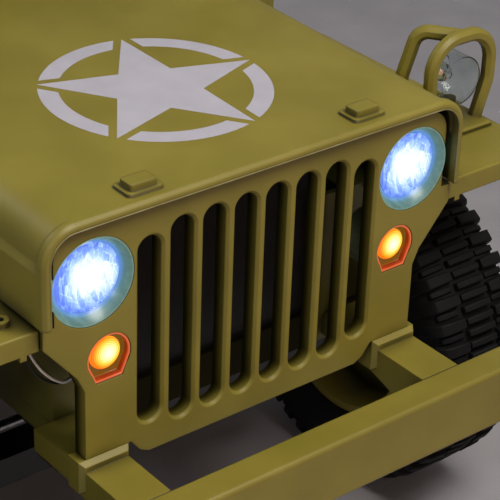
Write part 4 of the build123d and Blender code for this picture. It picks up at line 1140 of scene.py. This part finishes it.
class RIDEON_OT_floor_pieces(bpy.types.Operator):
    """Lay the ribbed mats and the pedal on the floor"""
    bl_idname = "rideon.floor_pieces"
    bl_label = "Mats and Pedal"

    def execute(self, context):
        black = finish_on("dashboard")
        dash_y = box_of("dashboard")[1].y
        skin = surface_of("floor")
        thick = context.scene.ride_on_inside.mat
        front, back = dash_y + 20 * MM, box_of("seat_left")[0].y - 10 * MM
        margin = 12 * MM
        ribs = 9
        for side, _ in SIDES:
            low, high, middle = box_of("seat_" + side)
            ground = height_at(skin, middle.x, dash_y + 60 * MM)
            mesh = bmesh.new()
            block(mesh, (low.x, front, ground), (high.x, back, ground + thick))
            for i in range(ribs):
                x = low.x + (i + 1) * (high.x - low.x) / (ribs + 1)
                block(mesh, (x - thick, front + margin, ground + thick),
                      (x + thick, back - margin, ground + 1.6 * thick))
            finish_piece(f"floor_mat_{side}", mesh, black, "root", bevel=0.5)
        mesh = bmesh.new()
        block(mesh, *in_mm((-28, -45, 0), (28, 45, 9)))
        for i in range(6):
            y = (i - 2.5) * 13
            block(mesh, *in_mm((-24, y - 2.5, 9), (24, y + 2.5, 11)))
        block(mesh, *in_mm((-20, -28, -24), (20, 30, 2)))
        x = box_of("seat_left")[2].x - 45 * MM
        place = Matrix.Translation((x, dash_y + 65 * MM, box_of("floor")[1].z + 34 * MM))
        tilt = Matrix.Rotation(-0.6, 4, "X")
        finish_piece("pedal", mesh, black, "root", place @ tilt, bevel=1.5)
        return {"FINISHED"}


# Outside: grab handles, wipers, screws and tail lamps

class RIDEON_OT_handles(bpy.types.Operator):
    """Make the grab handles on the rear quarters and the windscreen's wipers"""
    bl_idname = "rideon.handles"
    bl_label = "Handles and Wipers"

    def execute(self, context):
        high = box_of("side_panel_left")[1]
        front, back, z = high.y - 115 * MM, high.y - 35 * MM, high.z - 86 * MM
        stand, root = high.x + 13 * MM, high.x - 2 * MM
        near, far = 2 * MM, 8 * MM
        line = [(root, front), (stand - near, front), (stand, front + near), (stand, front + far),
                (stand, back - far), (stand, back - near), (stand - near, back), (root, back)]
        for name, side in SIDES:
            tube(f"grab_handle_{name}", [(side * x, y, z) for x, y in line], 4.2 * MM, finish_on("side_panel_left"),
                 "root")
        face_y = box_of("windscreen_frame")[0].y
        pane = box_of("windscreen_panes")[1]
        mesh = bmesh.new()
        for side in (-1, 1):
            pivot = Vector((side * pane.x / 2, face_y, pane.z))
            hub = bmesh.new()
            lathe(hub, in_mm((0, -2), (7, -2), (7, 3), (5.5, 4.5), (0, 4.5)), 20, closed=False)
            join_into(mesh, hub, facing(pivot + Vector((0, 0, 9 * MM)), (0, -1, 0)))
            for corners in (in_mm((-1.6, -3.4, -95), (1.6, -1.2, 9)), in_mm((-2.6, -2.6, -150), (2.6, 5, -30))):
                block(mesh, *[pivot + Vector(corner) for corner in corners])
        finish_piece("wipers", mesh, finish_on("dashboard"), "windscreen", bevel=0.6)
        return {"FINISHED"}


def screw_head(mesh, centre, direction, radius=4.0 * MM, height=2.2 * MM):
    """A pan head with a round recess, joined into mesh."""
    part = bmesh.new()
    # shares of the radius and of the height
    profile = ((0, 0.25), (0.28, 0.25), (0.3, 1), (0.72, 0.9), (1, 0.45), (1, 0), (0, 0))
    lathe(part, [(radius * out, height * up) for out, up in profile], 16, closed=False)
    join_into(mesh, part, facing(centre, direction))


class RIDEON_OT_screws(bpy.types.Operator):
    """Put the pan head screws in the side panels and the rear panel"""
    bl_idname = "rideon.screws"
    bl_label = "Body Screws"

    def execute(self, context):
        low, high, _ = box_of("side_panel_left")
        rear = box_of("rear_panel")[1]
        mesh = bmesh.new()
        for side in (-1, 1):
            for y, z in ((high.y - 25 * MM, low.z + 215 * MM), (high.y - 25 * MM, low.z + 20 * MM),
                         (high.y - 300 * MM, low.z + 220 * MM), (low.y + 20 * MM, high.z - 20 * MM),
                         (low.y + 20 * MM, low.z + 40 * MM), (low.y + 200 * MM, low.z + 18 * MM),
                         (low.y + 345 * MM, low.z + 18 * MM)):
                screw_head(mesh, (side * high.x, y, z), (side, 0, 0))
            for inward, down in in_mm((22, 18), (150, 18), (22, 95)):
                screw_head(mesh, (side * (high.x - inward), rear.y, rear.z - down), (0, 1, 0))
        finish_piece("body_screws", mesh, zinc_plated_steel(), "root")
        return {"FINISHED"}


class RIDEON_OT_tail_lamps(bpy.types.Operator):
    """Make both red tail lamps with a black bezel"""
    bl_idname = "rideon.tail_lamps"
    bl_label = "Tail Lamps"

    def execute(self, context):
        low, high, middle = box_of("tail_lamps")
        radius = (high.z - low.z) / 2
        depth = high.y - low.y
        bore = radius - 3.5 * MM
        bezel = [(radius, 0), (radius, depth * 0.7), (radius - 1.5 * MM, depth * 0.8), (bore, depth * 0.8), (bore, 0)]
        lens = [(bore, depth * 0.2), (bore, depth * 0.75)]
        # shares of the radius and of the depth
        lens += [(radius * out, depth * back) for out, back in
                 ((0.7, 0.9), (0.66, 0.86), (0.5, 0.95), (0.46, 0.91), (0.25, 0.99), (0, 1))]
        lenses, bezels = bmesh.new(), bmesh.new()
        for side in (-1, 1):
            place = facing((side * (high.x - radius), low.y, middle.z), (0, 1, 0))
            for mesh, profile in ((bezels, bezel), (lenses, lens)):
                part = bmesh.new()
                lathe(part, profile, 40, closed=mesh is bezels)
                join_into(mesh, part, place)
        red = finish_piece("tail_lamp_lenses", lenses, finish_on("tail_lamps"), "root")
        finish_piece("tail_lamp_bezels", bezels, textured_black_polypropylene(), "root")
        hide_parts("tail_lamps")
        return {"FINISHED"}


# Stage: floor, lamps and camera

CAMERA_PLACE = (-0.8695, -1.6968, 1.1985)
CAMERA_AZIMUTH, CAMERA_ELEVATION, CAMERA_ROLL = radians(-39.400), radians(29.693), radians(2.143)
CAMERA_LENS, SENSOR_WIDTH = 136.84, 36.0  # mm
LAMP_TARGET = (0, -0.45, 0.35)
FLOOR_REACH = 6.0


class RIDEON_OT_stage(bpy.types.Operator):
    """Set the pale floor, the soft lamps and the camera"""
    bl_idname = "rideon.stage"
    bl_label = "Stage"

    def execute(self, context):
        stage = context.scene.ride_on_stage
        mesh = bmesh.new()
        bmesh.ops.create_grid(mesh, x_segments=1, y_segments=1, size=FLOOR_REACH)
        data = bpy.data.meshes.new("floor")
        mesh.to_mesh(data)
        mesh.free()
        data.materials.append(floor_felt())
        linked("floor", data)

        world = bpy.data.worlds.new("studio")
        world.use_nodes = True
        shade = world.node_tree.nodes["Background"]
        shade.inputs["Color"].default_value = stage.sky_colour
        shade.inputs["Strength"].default_value = stage.sky
        context.scene.world = world

        for name, place, size, power, colour in (
            ("key", (0.25, -1.5, 2.2), 1.1, stage.key_power, "#fff8ec"),
            ("fill", (-1.5, -1.6, 1.5), 0.3, stage.fill_power, "#eef3ff"),
            ("warm", (0, -1.7, 0.45), 0.8, stage.warm_power, "#ff9a4a"),
            ("back", (-1.2, 2.6, 2.2), 1.6, stage.back_power, "#f4f6ff"),
        ):
            data = bpy.data.lights.new(name, "AREA")
            data.shape = "DISK"
            data.size = size
            data.energy = power
            data.color = srgb(colour)[:3]
            linked(name, data).matrix_world = facing(place, Vector(place) - Vector(LAMP_TARGET))

        flat = cos(CAMERA_ELEVATION)
        back = Vector((sin(CAMERA_AZIMUTH) * flat, -cos(CAMERA_AZIMUTH) * flat, sin(CAMERA_ELEVATION)))
        right = Vector((cos(CAMERA_AZIMUTH), sin(CAMERA_AZIMUTH), 0))
        up = back.cross(right)
        axis_x = right * cos(CAMERA_ROLL) + up * sin(CAMERA_ROLL)
        axis_y = up * cos(CAMERA_ROLL) - right * sin(CAMERA_ROLL)
        data = bpy.data.cameras.new("camera")
        data.lens = CAMERA_LENS
        data.sensor_width = SENSOR_WIDTH
        camera = linked("camera", data)
        camera.matrix_world = Matrix.Translation(CAMERA_PLACE) @ Matrix((axis_x, axis_y, back)).transposed().to_4x4()
        context.scene.camera = camera
        context.scene.view_settings.view_transform = "Standard"
        return {"FINISHED"}


class RIDEON_PT_panel(bpy.types.Panel):
    """Buttons for each group of pieces, and their settings"""
    bl_idname = "RIDEON_PT_panel"
    bl_label = "Ride-on car"
    bl_space_type = "VIEW_3D"
    bl_region_type = "UI"
    bl_category = "Ride-on"

    def draw(self, context):
        column = self.layout.column()
        for step in STEPS:
            column.operator(step.bl_idname)
        for holder, kind in GROUPS:
            group = getattr(context.scene, holder)
            for name in kind.__annotations__:
                column.prop(group, name)


STEPS = (
    RIDEON_OT_finishes,
    RIDEON_OT_star,
    RIDEON_OT_lip_edge,
    RIDEON_OT_headlamps,
    RIDEON_OT_markers,
    RIDEON_OT_leads,
    RIDEON_OT_tyres,
    RIDEON_OT_wheel_caps,
    RIDEON_OT_guard_lamp,
    RIDEON_OT_steering,
    RIDEON_OT_dashboard,
    RIDEON_OT_seams,
    RIDEON_OT_gaskets,
    RIDEON_OT_floor_pieces,
    RIDEON_OT_handles,
    RIDEON_OT_screws,
    RIDEON_OT_tail_lamps,
    RIDEON_OT_stage,
)
GROUPS = (
    ("ride_on_star", StarSettings),
    ("ride_on_lip", LipSettings),
    ("ride_on_tyre", TyreSettings),
    ("ride_on_inside", InsideSettings),
    ("ride_on_lamp", LampSettings),
    ("ride_on_stage", StageSettings),
)


def register():
    for name, group in GROUPS:
        bpy.utils.register_class(group)
        setattr(bpy.types.Scene, name, PointerProperty(type=group))
    for step in STEPS:
        bpy.utils.register_class(step)
    bpy.utils.register_class(RIDEON_PT_panel)


def unregister():
    bpy.utils.unregister_class(RIDEON_PT_panel)
    for step in reversed(STEPS):
        bpy.utils.unregister_class(step)
    for name, group in reversed(GROUPS):
        delattr(bpy.types.Scene, name)
        bpy.utils.unregister_class(group)


def main():
    register()
    for step in STEPS:
        family, action = step.bl_idname.split(".")
        getattr(getattr(bpy.ops, family), action)()


if __name__ == "__main__":
    main()
